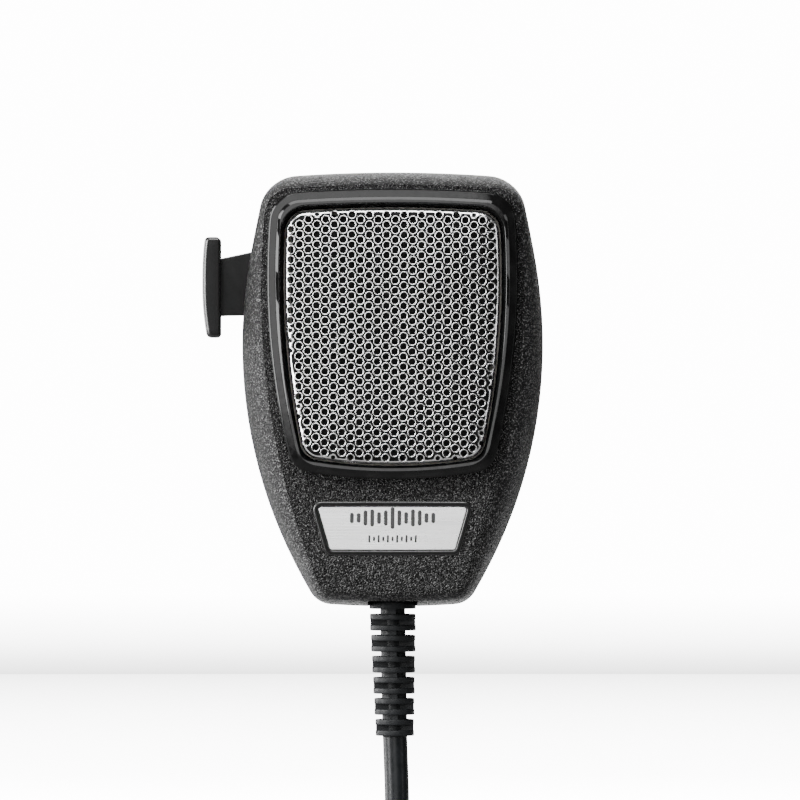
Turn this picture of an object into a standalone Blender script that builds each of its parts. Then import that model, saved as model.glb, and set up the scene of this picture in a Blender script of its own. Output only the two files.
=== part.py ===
"""Palm microphone for a two-way radio, with its push-to-talk lever, capsule, cord and plug.

Metres, +Z up, front of the microphone towards -Y.  The origin is the centre of the outer face
of the hang-up button on the back, which is the face that rests against the clip's wall.
"""

from collections import namedtuple
from math import atan2, cos, pi, radians, sin, sqrt

import bmesh
import bpy
from mathutils import Vector

# ---------------------------------------------------------------- driving sizes

BACK_Y = -0.0080          # outer back face of the housing
PARTING_Y = -0.0220       # plane where the two shells meet, also the cord's plane
FACE_Y = -0.0380          # front face of the housing
WALL = 0.0022             # thickness of the moulded walls
GAP = 0.0003              # clearance between neighbouring pieces

CAPSULE_Z = -0.0080       # height of the capsule's axis
CORD_RADIUS = 0.00265
BOOT_END_Z = -0.0948      # lower end of the strain relief
COLLAR_TOP_Z = -0.0654    # top of the strain relief's collar
COLLAR_RADIUS = 0.00505

PIVOT_X = -0.0262         # push-to-talk hinge
PIVOT_Z = -0.0217
PLUNGER_Z = PIVOT_Z + 0.0120

COIL_X = 0.0008           # stored coil, hanging under the microphone
COIL_Y = -0.0108
COIL_Z = -0.1530
COIL_RADIUS = 0.0316      # middle of the bundle of turns
TURN_PITCH = 0.0054       # turns lie this far apart
COIL_HALF = 1.5 * TURN_PITCH
TIE_ANGLE = 2.23          # from the coil's top, towards +X, in radians

PLUG_X = COIL_X + 0.0502
PLUG_TOP_Z = COIL_Z + 0.0010

CASE_SCREWS = [(-0.0150, 0.0213), (0.0150, 0.0213), (-0.0145, -0.0510), (0.0145, -0.0510)]
CLAMP_SCREWS = [(-0.0080, -0.0585), (0.0080, -0.0585)]
BOARD_SCREWS = [(-0.0130, -0.0340), (0.0100, -0.0340)]

# ---------------------------------------------------------------- outlines in the XZ plane

# A bowed four-sided outline: two side arcs, a top arc, a bottom arc and four corner fillets.
Outline = namedtuple(
    "Outline",
    "half_width widest_z side_bow top_z bottom_z top_bow bottom_bow top_corner bottom_corner",
)

HOUSING = Outline(0.03265, -0.0097, 0.104, 0.0277, -0.0665, 0.30, 0.20, 0.0080, 0.0055)
FRONT_FACE = Outline(0.0276, 0.0050, 0.185, 0.0244, -0.0633, 0.30, 0.16, 0.0058, 0.0040)
BACK_FACE = Outline(0.0294, -0.0097, 0.101, 0.0246, -0.0633, 0.30, 0.20, 0.0055, 0.0040)
BEZEL = Outline(0.02705, 0.0050, 0.160, 0.0238, -0.0388, 0.30, 0.11, 0.0068, 0.0052)
GRILLE = Outline(0.0232, 0.0045, 0.180, 0.0195, -0.0356, 0.30, 0.11, 0.0046, 0.0042)
HOLDER = Outline(0.0257, 0.0045, 0.180, 0.0219, -0.0380, 0.30, 0.11, 0.0080, 0.0050)
PLATE = Outline(0.0500, 0.2000, 0.900, -0.0447, -0.0540, 2.00, 2.00, 0.0006, 0.0006)


def inset(outline, distance):
    """The same outline moved inwards by a distance, or outwards by a negative one."""
    smallest = 0.0004
    return Outline(
        outline.half_width - distance,
        outline.widest_z,
        outline.side_bow - distance,
        outline.top_z - distance,
        outline.bottom_z + distance,
        outline.top_bow - distance,
        outline.bottom_bow - distance,
        max(outline.top_corner - distance, smallest),
        max(outline.bottom_corner - distance, smallest),
    )


def blend(first, second, share):
    """An outline part of the way from the first to the second."""
    return Outline(*(a + (b - a) * share for a, b in zip(first, second)))


def fillet_centre(outline, end_z, end_bow, corner, towards):
    """Centre of the right-hand fillet between a side arc and the top (+1) or bottom (-1) arc."""
    side = Vector((outline.half_width - outline.side_bow, outline.widest_z))
    end = Vector((0.0, end_z - towards * end_bow))
    reach_side = outline.side_bow - corner
    reach_end = end_bow - corner
    apart = (end - side).length
    along = (reach_side**2 - reach_end**2 + apart**2) / (2.0 * apart)
    across = sqrt(max(reach_side**2 - along**2, 0.0))
    direction = (end - side) / apart
    normal = Vector((-direction.y, direction.x))
    options = [side + direction * along + normal * across * sign for sign in (-1.0, 1.0)]
    corner_point = Vector((outline.half_width, end_z))
    return min(options, key=lambda point: (point - corner_point).length), side, end


def arc(centre, radius, start, stop, steps):
    """Points along an arc, without its last one."""
    angles = [start + (stop - start) * step / steps for step in range(steps)]
    return [(centre[0] + radius * cos(a), centre[1] + radius * sin(a)) for a in angles]


def outline_points(outline, side_steps=6, end_steps=3, corner_steps=3):
    """The outline as (x, z) points, counter-clockwise, beginning at the bottom centre."""
    low, side, low_end = fillet_centre(
        outline, outline.bottom_z, outline.bottom_bow, outline.bottom_corner, -1.0
    )
    high, side, high_end = fillet_centre(
        outline, outline.top_z, outline.top_bow, outline.top_corner, 1.0
    )
    low_start = atan2(low.y - low_end.y, low.x - low_end.x)
    side_start = atan2(low.y - side.y, low.x - side.x)
    side_stop = atan2(high.y - side.y, high.x - side.x)
    high_stop = atan2(high.y - high_end.y, high.x - high_end.x)
    right = arc(low_end, outline.bottom_bow, -pi / 2, low_start, end_steps)
    right += arc(low, outline.bottom_corner, low_start, side_start, corner_steps)
    right += arc(side, outline.side_bow, side_start, side_stop, side_steps)
    right += arc(high, outline.top_corner, side_stop, high_stop, corner_steps)
    right += arc(high_end, outline.top_bow, high_stop, pi / 2, end_steps)
    top = (0.0, outline.top_z)
    left = [(-x, z) for x, z in reversed(right[1:])]
    return right + [top] + left


# ---------------------------------------------------------------- scene and materials

PALETTE = {
    "grained_plastic": ((0.020, 0.020, 0.022), 0.55, 0.0),
    "gloss_black": ((0.008, 0.008, 0.009), 0.12, 0.0),
    "bright_steel": ((0.78, 0.78, 0.78), 0.22, 1.0),
    "brushed_aluminium": ((0.72, 0.72, 0.72), 0.35, 1.0),
    "black_rubber": ((0.022, 0.023, 0.027), 0.60, 0.0),
    "cord_jacket": ((0.020, 0.021, 0.025), 0.45, 0.0),
    "cloth": ((0.012, 0.012, 0.012), 0.95, 0.0),
    "capsule_metal": ((0.62, 0.60, 0.55), 0.35, 1.0),
    "magnet": ((0.20, 0.20, 0.21), 0.45, 1.0),
    "film": ((0.75, 0.72, 0.62), 0.25, 0.0),
    "copper": ((0.72, 0.36, 0.18), 0.30, 1.0),
    "board_green": ((0.03, 0.16, 0.07), 0.35, 0.0),
    "switch_plastic": ((0.55, 0.53, 0.48), 0.45, 0.0),
    "zinc_steel": ((0.58, 0.58, 0.60), 0.30, 1.0),
    "brass": ((0.75, 0.58, 0.25), 0.28, 1.0),
    "wire_red": ((0.50, 0.03, 0.02), 0.40, 0.0),
    "wire_white": ((0.75, 0.74, 0.70), 0.40, 0.0),
    "wire_black": ((0.015, 0.015, 0.015), 0.40, 0.0),
    "wire_blue": ((0.03, 0.08, 0.40), 0.40, 0.0),
    "capacitor_sleeve": ((0.03, 0.05, 0.16), 0.30, 0.0),
    "resistor_body": ((0.58, 0.45, 0.28), 0.40, 0.0),
    "plug_chrome": ((0.74, 0.74, 0.75), 0.15, 1.0),
    "insert_plastic": ((0.05, 0.04, 0.035), 0.40, 0.0),
    "strap_fabric": ((0.015, 0.015, 0.016), 0.90, 0.0),
}


def clear_scene():
    for obj in list(bpy.data.objects):
        bpy.data.objects.remove(obj, do_unlink=True)


def collection_named(name):
    group = bpy.data.collections.get(name) or bpy.data.collections.new(name)
    if group.name not in bpy.context.scene.collection.children:
        bpy.context.scene.collection.children.link(group)
    return group


def material_named(name):
    material = bpy.data.materials.get(name)
    if material:
        return material
    colour, roughness, metallic = PALETTE[name]
    material = bpy.data.materials.new(name)
    material.use_nodes = True
    shader = material.node_tree.nodes["Principled BSDF"]
    shader.inputs["Base Color"].default_value = (*colour, 1.0)
    shader.inputs["Roughness"].default_value = roughness
    shader.inputs["Metallic"].default_value = metallic
    return material


clear_scene()
PARTS = collection_named("palm_microphone")
CUTTERS = collection_named("cutters")


def place(obj, material, parent=None):
    """Puts an object among the parts, with its material and perhaps a parent."""
    for group in list(obj.users_collection):
        group.objects.unlink(obj)
    PARTS.objects.link(obj)
    obj.data.materials.clear()
    obj.data.materials.append(material_named(material))
    if parent:
        obj.parent = parent
        obj.location = obj.location - parent.location
    return obj


def as_tool(obj):
    """Turns an object into a cutter, which is no part of the microphone."""
    for group in list(obj.users_collection):
        group.objects.unlink(obj)
    CUTTERS.objects.link(obj)
    obj.hide_render = True
    obj.display_type = "WIRE"
    return obj


def combine(target, tool, operation):
    modifier = target.modifiers.new(f"{operation.lower()}_{tool.name}", "BOOLEAN")
    modifier.operation = operation
    modifier.solver = "EXACT"
    modifier.object = as_tool(tool)


def cut(target, tool):
    combine(target, tool, "DIFFERENCE")


def join(target, tool):
    combine(target, tool, "UNION")


def empty_at(name, location):
    marker = bpy.data.objects.new(name, None)
    marker.location = location
    PARTS.objects.link(marker)
    return marker


# ---------------------------------------------------------------- shape makers

AXIS_TURN = {"X": (0.0, pi / 2, 0.0), "Y": (-pi / 2, 0.0, 0.0), "Z": (0.0, 0.0, 0.0)}


def mesh_object(name, bm):
    bmesh.ops.recalc_face_normals(bm, faces=bm.faces)
    mesh = bpy.data.meshes.new(name)
    bm.to_mesh(mesh)
    bm.free()
    obj = bpy.data.objects.new(name, mesh)
    bpy.context.scene.collection.objects.link(obj)
    return obj


def loft(name, sections, ring=False):
    """A solid through (outline, y) sections; a ring's last section joins its first."""
    bm = bmesh.new()
    loops = []
    for outline, y in sections:
        loops.append([bm.verts.new((x, y, z)) for x, z in outline_points(outline)])
    pairs = list(zip(loops, loops[1:]))
    if ring:
        pairs.append((loops[-1], loops[0]))
    else:
        bm.faces.new(loops[0])
        bm.faces.new(loops[-1])
    count = len(loops[0])
    for lower, upper in pairs:
        for i in range(count):
            j = (i + 1) % count
            bm.faces.new((lower[i], lower[j], upper[j], upper[i]))
    return mesh_object(name, bm)


def turned(name, profile, location, axis="Y", steps=24, closed=False):
    """A turned solid from (radius, height) points running down its outer side.

    Heights run along the axis.  A closed profile makes a ring, whose inner side runs back up.
    """
    mesh = bpy.data.meshes.new(name)
    edges = [(i, i + 1) for i in range(len(profile) - 1)]
    if closed:
        edges.append((len(profile) - 1, 0))
    mesh.from_pydata([(r, 0.0, h) for r, h in profile], edges, [])
    obj = bpy.data.objects.new(name, mesh)
    bpy.context.scene.collection.objects.link(obj)
    obj.location = location
    obj.rotation_euler = AXIS_TURN[axis]
    screw = obj.modifiers.new("turn", "SCREW")
    screw.axis = "Z"
    screw.angle = 2.0 * pi
    screw.steps = steps
    screw.render_steps = steps
    screw.use_merge_vertices = True
    screw.merge_threshold = 0.00001
    return obj


def cylinder(name, radius, start, length, axis="Y", sides=16):
    """A cylinder that begins at a point and runs a length along an axis."""
    bpy.ops.mesh.primitive_cylinder_add(vertices=sides, radius=radius, depth=abs(length))
    obj = bpy.context.object
    obj.name = name
    obj.data.name = name
    along = {"X": Vector((1, 0, 0)), "Y": Vector((0, 1, 0)), "Z": Vector((0, 0, 1))}[axis]
    obj.rotation_euler = AXIS_TURN[axis]
    obj.location = Vector(start) + along * length / 2.0
    return obj


def box(name, low, high, bevel=0.0):
    """A box between two corners, with bevelled edges where a width is given."""
    bpy.ops.mesh.primitive_cube_add(size=1.0)
    obj = bpy.context.object
    obj.name = name
    obj.data.name = name
    low, high = Vector(low), Vector(high)
    size = high - low
    for vertex in obj.data.vertices:
        vertex.co = Vector(a * b for a, b in zip(vertex.co, size))
    obj.location = (low + high) / 2.0
    if bevel:
        edge = obj.modifiers.new("edges", "BEVEL")
        edge.width = bevel
        edge.segments = 2
    return obj


def prism(name, points, low_y, high_y, bevel=0.0):
    """A flat XZ outline filled and extruded along Y, as a mesh."""
    curve = bpy.data.curves.new(name, "CURVE")
    curve.dimensions = "2D"
    curve.fill_mode = "BOTH"
    curve.extrude = (high_y - low_y) / 2.0
    spline = curve.splines.new("POLY")
    spline.points.add(len(points) - 1)
    for point, (x, z) in zip(spline.points, points):
        point.co = (x, z, 0.0, 1.0)
    spline.use_cyclic_u = True
    obj = bpy.data.objects.new(name, curve)
    bpy.context.scene.collection.objects.link(obj)
    obj.rotation_euler = (pi / 2, 0.0, 0.0)
    obj.location = (0.0, (low_y + high_y) / 2.0, 0.0)
    solid = curve_to_mesh(obj)
    if bevel:
        edge = solid.modifiers.new("edges", "BEVEL")
        edge.width = bevel
        edge.segments = 2
        edge.limit_method = "ANGLE"
        edge.angle_limit = radians(50)
    return solid


def curve_to_mesh(obj):
    """Replaces a curve object by a welded mesh object in the same place."""
    bpy.context.view_layer.update()
    graph = bpy.context.evaluated_depsgraph_get()
    mesh = bpy.data.meshes.new_from_object(obj.evaluated_get(graph))
    name, matrix, curve = obj.name, obj.matrix_world.copy(), obj.data
    bpy.data.objects.remove(obj, do_unlink=True)
    bpy.data.curves.remove(curve)
    bm = bmesh.new()
    bm.from_mesh(mesh)
    bmesh.ops.remove_doubles(bm, verts=bm.verts, dist=0.00001)
    bmesh.ops.recalc_face_normals(bm, faces=bm.faces)
    bm.to_mesh(mesh)
    bm.free()
    solid = bpy.data.objects.new(name, mesh)
    bpy.context.scene.collection.objects.link(solid)
    solid.matrix_world = matrix
    return solid


def tube(name, points, radius, resolution=2):
    """A round wire or cord through points."""
    curve = bpy.data.curves.new(name, "CURVE")
    curve.dimensions = "3D"
    curve.bevel_depth = radius
    curve.bevel_resolution = resolution
    curve.use_fill_caps = True
    spline = curve.splines.new("POLY")
    spline.points.add(len(points) - 1)
    for point, place_at in zip(spline.points, points):
        point.co = (*place_at, 1.0)
    obj = bpy.data.objects.new(name, curve)
    bpy.context.scene.collection.objects.link(obj)
    return obj


def smooth_path(points, per_span=3):
    """Catmull-Rom points through a route's own points."""
    route = [Vector(p) for p in points]
    route = [2 * route[0] - route[1]] + route + [2 * route[-1] - route[-2]]
    path = []
    for before, start, stop, after in zip(route, route[1:], route[2:], route[3:]):
        for step in range(per_span):
            t = step / per_span
            bend = (2 * before - 5 * start + 4 * stop - after) * t * t
            twist = (3 * start - before - 3 * stop + after) * t**3
            path.append((2 * start + (stop - before) * t + bend + twist) / 2)
    path.append(route[-2])
    return path


# ---------------------------------------------------------------- housing

FRONT_SECTIONS = [(0.00, -0.02215), (0.05, -0.0275), (0.18, -0.0315), (0.42, -0.0346),
                  (0.74, -0.0369), (1.00, FACE_Y)]
BACK_SECTIONS = [(0.00, -0.02185), (0.06, -0.0160), (0.27, -0.0120), (0.60, -0.0096),
                 (1.00, BACK_Y)]
WINDOW = inset(GRILLE, -0.0017)
FRONT_INNER_Y = FACE_Y + WALL
BACK_INNER_Y = BACK_Y - WALL

SLOT_LOW = (-0.0345, -0.0257, -0.0046)
SLOT_HIGH = (-0.0268, -0.0183, 0.0122)


def slot_cutter(name):
    """The opening in the left wall that the push-to-talk stem passes through."""
    return box(name, SLOT_LOW, SLOT_HIGH)


def cord_cutter(name, sides):
    """The round opening in the bottom wall that holds the strain relief's neck."""
    return cylinder(name, 0.0041, (0.0, PARTING_Y, -0.0710), 0.0100, "Z", sides)


def collar_pocket(name):
    """The pocket in the bottom wall around the strain relief's collar, open towards the front."""
    reach = COLLAR_RADIUS + GAP
    outline = arc((0.0, PARTING_Y), reach, 0.0, pi, 15)
    outline += [(-reach, PARTING_Y), (-reach, FACE_Y - 0.0010), (reach, FACE_Y - 0.0010)]
    bm = bmesh.new()
    loops = []
    for z in (-0.0710, COLLAR_TOP_Z + GAP):
        loops.append([bm.verts.new((x, y, z)) for x, y in outline])
        bm.faces.new(loops[-1])
    for i in range(len(outline)):
        bm.faces.new((loops[0][i - 1], loops[0][i], loops[1][i], loops[1][i - 1]))
    return mesh_object(name, bm)


def boss(name, x, z, base_y, top_y, hole_depth, radius=0.0026, hole=0.0015):
    """A screw boss standing on a wall, with a blind hole in its top."""
    height = abs(top_y - base_y)
    profile = [(0.0, height - hole_depth), (hole, height - hole_depth), (hole, height),
               (radius, height), (radius, 0.0), (0.0, 0.0)]
    stud = turned(name, profile, (x, base_y, z), "Y", 12)
    if top_y < base_y:
        stud.rotation_euler = (pi / 2, 0.0, 0.0)
    return stud


def front_shell():
    outer = [(blend(HOUSING, FRONT_FACE, share), y) for share, y in FRONT_SECTIONS]
    outer.append((blend(FRONT_FACE, WINDOW, 0.5), FACE_Y))
    inner_face = inset(FRONT_FACE, 0.0012)
    window = [(WINDOW, FACE_Y), (WINDOW, FRONT_INNER_Y)]
    window.append((blend(WINDOW, inner_face, 0.5), FRONT_INNER_Y))
    inner = [
        (inner_face, FRONT_INNER_Y),
        (inset(blend(HOUSING, FRONT_FACE, 0.42), WALL), -0.0336),
        (inset(blend(HOUSING, FRONT_FACE, 0.12), WALL), -0.0300),
        (inset(HOUSING, WALL), FRONT_SECTIONS[0][1]),
    ]
    shell = place(loft("front_shell", outer + window + inner, ring=True), "grained_plastic")
    for number, (x, z) in enumerate(CASE_SCREWS, 1):
        on_top_wall = z > 0
        base_y = -0.0339 if on_top_wall else FRONT_INNER_Y - 0.0008
        join(shell, boss(f"front_boss_{number}", x, z, base_y, PARTING_Y - 0.0006, 0.0080))
        if on_top_wall:
            rib_low = (x - 0.0009, base_y + 0.0004, z + 0.0021)
            rib_high = (x + 0.0009, PARTING_Y - 0.0010, 0.0263)
            join(shell, box(f"front_rib_{number}", rib_low, rib_high))
    join(shell, boss("front_pivot_boss", PIVOT_X, PIVOT_Z, -0.0339, -0.0262, 0.0050,
                     0.0028, 0.0017))
    cut(shell, slot_cutter("front_slot"))
    cut(shell, cord_cutter("front_cord_hole", 21))
    cut(shell, collar_pocket("front_collar_pocket"))
    recess = outline_points(inset(PLATE, -0.0010), 2, 1, 2)
    cut(shell, prism("plate_recess", recess, FACE_Y - 0.0010, FACE_Y + 0.0006))
    return shell


def rear_shell():
    outer = [(blend(HOUSING, BACK_FACE, share), y) for share, y in BACK_SECTIONS]
    inner = [
        (inset(BACK_FACE, 0.0016), BACK_INNER_Y),
        (inset(blend(HOUSING, BACK_FACE, 0.30), WALL), -0.0124),
        (inset(blend(HOUSING, BACK_FACE, 0.06), WALL), -0.0160),
        (inset(HOUSING, WALL), BACK_SECTIONS[0][1]),
    ]
    shell = place(loft("rear_shell", inner + outer), "grained_plastic")
    base_y = BACK_INNER_Y + 0.0005
    for number, (x, z) in enumerate(CLAMP_SCREWS, 1):
        join(shell, boss(f"clamp_boss_{number}", x, z, base_y, -0.0246, 0.0080))
    for number, (x, z) in enumerate(BOARD_SCREWS, 1):
        join(shell, boss(f"board_boss_{number}", x, z, base_y, -0.0121, 0.0022, 0.0027))
    join(shell, boss("rear_pivot_boss", PIVOT_X, PIVOT_Z, base_y, -0.0166, 0.0040,
                     0.0030, 0.0017))
    cut(shell, slot_cutter("rear_slot"))
    cut(shell, cord_cutter("rear_cord_hole", 20))
    cut(shell, collar_pocket("rear_collar_pocket"))
    for number, (x, z) in enumerate(CASE_SCREWS, 1):
        cut(shell, cylinder(f"case_hole_{number}", 0.0015, (x, -0.0125, z), 0.0060))
        cut(shell, cylinder(f"case_counterbore_{number}", 0.0027, (x, BACK_Y - 0.0011, z), 0.0030))
    cut(shell, cylinder("button_screw_hole", 0.0016, (0.0, -0.0125, 0.0), 0.0060))
    return shell


def screw(name, x, z, seat_y, length, towards, material="zinc_steel", head=0.0023, shank=0.0012):
    """A pan-head screw whose head stands on seat_y; towards is the way its shank points in Y."""
    thick = head * 0.62
    profile = [(0.0, thick), (head * 0.62, thick * 0.93), (head, thick * 0.45), (head, 0.0),
               (shank, 0.0), (shank, -length), (0.0, -length)]
    body = turned(name, profile, (x, seat_y, z), "Y", 12)
    if towards > 0:
        body.rotation_euler = (pi / 2, 0.0, 0.0)
    return place(body, material)


def case_screws():
    for number, (x, z) in enumerate(CASE_SCREWS, 1):
        screw(f"case_screw_{number}", x, z, BACK_Y - 0.0008, 0.0205, -1, head=0.0022)


def hang_button():
    profile = [(0.0, 0.0), (0.0060, 0.0), (0.00675, -0.0006), (0.00675, -0.0020),
               (0.0044, -0.0024), (0.0044, -0.0056), (0.0076, -0.0060), (0.0076, -0.0077),
               (0.0015, -0.0077), (0.0015, -0.0030), (0.0, -0.0030)]
    place(turned("hang_button", profile, (0, 0, 0), "Y", 24), "zinc_steel")
    washer = [(0.0015, -0.0105), (0.0040, -0.0105), (0.0040, -0.0113), (0.0015, -0.0113)]
    place(turned("hang_button_washer", washer, (0, 0, 0), "Y", 20, closed=True), "zinc_steel")
    screw("hang_button_screw", 0.0, 0.0, -0.0116, 0.0082, 1, head=0.0029)


# ---------------------------------------------------------------- front: frame, grille, plate


def grille_bezel():
    around = inset(GRILLE, -0.0003)
    sections = [
        (BEZEL, FACE_Y - GAP), (BEZEL, -0.0403), (inset(BEZEL, 0.0005), -0.0410),
        (inset(GRILLE, -0.0015), -0.0410), (inset(GRILLE, -0.0006), -0.0404),
        (around, -0.0394), (around, -0.0362), (inset(GRILLE, -0.0014), -0.0362),
        (inset(GRILLE, -0.0014), FACE_Y - GAP),
    ]
    return place(loft("grille_bezel", sections, ring=True), "gloss_black")


# Distance in from the grille's edge, and the height of the sheet's outer surface there.
GRILLE_DOME = [(0.0000, -0.0402), (0.0004, -0.0409), (0.0012, -0.0414), (0.0040, -0.0419),
               (0.0090, -0.0423), (0.0160, -0.0425)]
SHEET = 0.0007


def grille_screen():
    rim = -0.0366
    outer = [(GRILLE, rim)] + [(inset(GRILLE, d), y) for d, y in GRILLE_DOME]
    inner = [(inset(GRILLE, SHEET), rim)]
    inner += [(inset(GRILLE, d + SHEET), y + SHEET) for d, y in GRILLE_DOME]
    return place(loft("grille_screen", inner[::-1] + outer), "bright_steel")


def dust_cloth():
    pad = inset(GRILLE, 0.0012)
    return place(loft("dust_cloth", [(pad, -0.0382), (pad, -0.0389)]), "cloth")


def nameplate():
    points = outline_points(PLATE, 2, 1, 2)
    return place(prism("nameplate", points, FACE_Y - 0.00015, FACE_Y + 0.0003), "brushed_aluminium")


# ---------------------------------------------------------------- capsule


def capsule_turned(name, profile, material, steps=20, closed=False):
    """A turned capsule piece; its profile heights are the negative of world Y."""
    piece = turned(name, profile, (0.0, 0.0, CAPSULE_Z), "Y", steps, closed)
    piece.rotation_euler = (pi / 2, 0.0, 0.0)
    return place(piece, material)


def capsule():
    holder = place(loft("capsule_holder", [(HOLDER, -0.0343), (HOLDER, -0.0355)]), "switch_plastic")
    cut(holder, cylinder("holder_hole", 0.0130, (0.0, -0.0365, CAPSULE_Z), 0.0030, "Y", 24))

    cap = cylinder("capsule_front_cap", 0.0126, (0.0, -0.0350, CAPSULE_Z), 0.0005, "Y", 24)
    place(cap, "capsule_metal")
    for number in range(6):
        angle = number * pi / 3
        at = (0.0072 * cos(angle), -0.0360, CAPSULE_Z + 0.0072 * sin(angle))
        cut(cap, cylinder(f"cap_hole_{number + 1}", 0.0014, at, 0.0025, "Y", 10))

    ring = [(0.0153, 0.0338), (0.0157, 0.0340), (0.0171, 0.0340), (0.0175, 0.0336),
            (0.0175, 0.0278), (0.0171, 0.0274), (0.0153, 0.0274)]
    capsule_turned("capsule_ring", ring, "black_rubber", closed=True)

    film = [(0.0, 0.0343), (0.0022, 0.0342), (0.0042, 0.0339), (0.0056, 0.0338), (0.0090, 0.0341),
            (0.0132, 0.0339), (0.0146, 0.0339), (0.0146, 0.0336), (0.0132, 0.0336),
            (0.0090, 0.0338), (0.0056, 0.0335), (0.0042, 0.0336), (0.0022, 0.0339), (0.0, 0.0340)]
    capsule_turned("capsule_diaphragm", film, "film")

    coil = [(0.0050, 0.0332), (0.0055, 0.0332), (0.0055, 0.0306), (0.0050, 0.0306)]
    capsule_turned("capsule_voice_coil", coil, "copper", closed=True)

    pole = [(0.0, 0.0326), (0.0046, 0.0326), (0.0046, 0.0316), (0.0, 0.0316)]
    capsule_turned("capsule_pole_plate", pole, "zinc_steel", 16)

    magnet = [(0.0, 0.0313), (0.0041, 0.0313), (0.0044, 0.0310), (0.0044, 0.0286),
              (0.0041, 0.0283), (0.0, 0.0283)]
    capsule_turned("capsule_magnet", magnet, "magnet", 16)

    case = [(0.0, 0.0280), (0.0059, 0.0280), (0.0059, 0.0325), (0.0085, 0.0325),
            (0.0085, 0.0280), (0.0142, 0.0280), (0.0142, 0.0333), (0.0150, 0.0333),
            (0.0150, 0.0274), (0.0145, 0.0269), (0.0, 0.0269)]
    capsule_turned("capsule_case", case, "capsule_metal")

    place(cylinder("capsule_terminal_board", 0.0060, (0.0, -0.0266, CAPSULE_Z), 0.0010, "Y", 20),
          "board_green")


# ---------------------------------------------------------------- push-to-talk and electronics


def lever_arm_points():
    """The stem through the wall, the arm down to the hinge, and the nose that works the switch."""
    hub = arc((PIVOT_X, PIVOT_Z), 0.0030, radians(20), radians(-190), 10)
    nose = arc((-0.0234, PLUNGER_Z), 0.0012, radians(80), radians(-80), 4)
    start = [(-0.0390, 0.0086), (-0.0306, 0.0104), (-0.0282, 0.0104), (-0.0266, 0.0090),
             (-0.0246, -0.0030), (-0.0243, PLUNGER_Z + 0.0016)]
    middle = [(-0.0240, PLUNGER_Z - 0.0016)]
    finish = [(-0.0289, PIVOT_Z + 0.0030), (-0.0290, -0.0090), (-0.0296, -0.0042),
              (-0.0321, -0.0031), (-0.0390, -0.0037)]
    return start + nose + middle + hub + finish


def paddle_points():
    """The finger paddle's side outline: a flat inner face and a bowed outer face."""
    top, bottom, inner, outer = 0.0136, -0.0082, -0.0373, -0.0407
    middle = (top + bottom) / 2.0
    height = (top - bottom) / 2.0
    points = [(inner, bottom), (inner, top), (-0.0382, top)]
    for step in range(9):
        share = 1.0 - step / 4.0
        bow = 0.0008 * share**2 if share < 0 else 0.0004 * share**3
        points.append((outer + bow, middle + share * (height - 0.0006)))
    points.append((-0.0390, bottom))
    return points


def ptt_lever(hinge):
    arm = prism("ptt_lever", lever_arm_points(), -0.0250, -0.0190)
    paddle = prism("paddle", paddle_points(), -0.0290, -0.0150, bevel=0.0007)
    join(arm, paddle)
    cut(arm, cylinder("lever_bore", 0.0017, (PIVOT_X, -0.0270, PIVOT_Z), 0.0100))
    place(arm, "grained_plastic")
    move_origin(arm, hinge.location)
    arm.parent = hinge
    arm.location = (0.0, 0.0, 0.0)
    return arm


def move_origin(obj, point):
    """Moves a mesh object's origin to a point without moving its shape."""
    obj.data.transform(obj.matrix_basis)
    obj.matrix_basis.identity()
    shift = Vector(point)
    for vertex in obj.data.vertices:
        vertex.co = vertex.co - shift
    obj.location = shift


def pivot_and_spring(hinge):
    place(cylinder("ptt_pivot_pin", 0.0014, (PIVOT_X, -0.0309, PIVOT_Z), 0.0178, "Y", 16),
          "zinc_steel")
    turns, steps, pitch = 2, 11, 0.0007
    wire, coil_radius, low_y = 0.0003, 0.0024, -0.0184
    points = [(PIVOT_X + 0.0022, low_y, PIVOT_Z + 0.0075)]
    for step in range(turns * steps + 1):
        angle = 2.0 * pi * step / steps
        points.append((PIVOT_X + coil_radius * cos(angle), low_y + pitch * step / steps,
                       PIVOT_Z - coil_radius * sin(angle)))
    points.append((PIVOT_X + 0.0044, points[-1][1], PIVOT_Z + 0.0072))
    spring = tube("ptt_return_spring", points, wire)
    place(spring, "zinc_steel")
    spring.parent = hinge
    spring.location = -hinge.location


def switch():
    low, high = (-0.0180, -0.0240, -0.0150), (-0.0080, -0.0143, -0.0054)
    body = place(box("switch_body", low, high, 0.0004), "switch_plastic")
    cut(body, cylinder("switch_bore", 0.0017, (-0.0190, PARTING_Y, PLUNGER_Z), 0.0044, "X", 16))
    plunger = turned("switch_plunger", [(0.0, 0.0052), (0.0009, 0.0051), (0.0013, 0.0046),
                     (0.0013, 0.0), (0.0, 0.0)], (-0.0166, PARTING_Y, PLUNGER_Z), "Z", 14)
    plunger.rotation_euler = (0.0, -pi / 2, 0.0)
    place(plunger, "insert_plastic")
    for number, x in enumerate((-0.0160, -0.0130, -0.0100), 1):
        place(box(f"switch_terminal_{number}", (x - 0.0008, -0.0203, -0.0190),
                  (x + 0.0008, -0.0198, -0.0153)), "brass")


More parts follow.
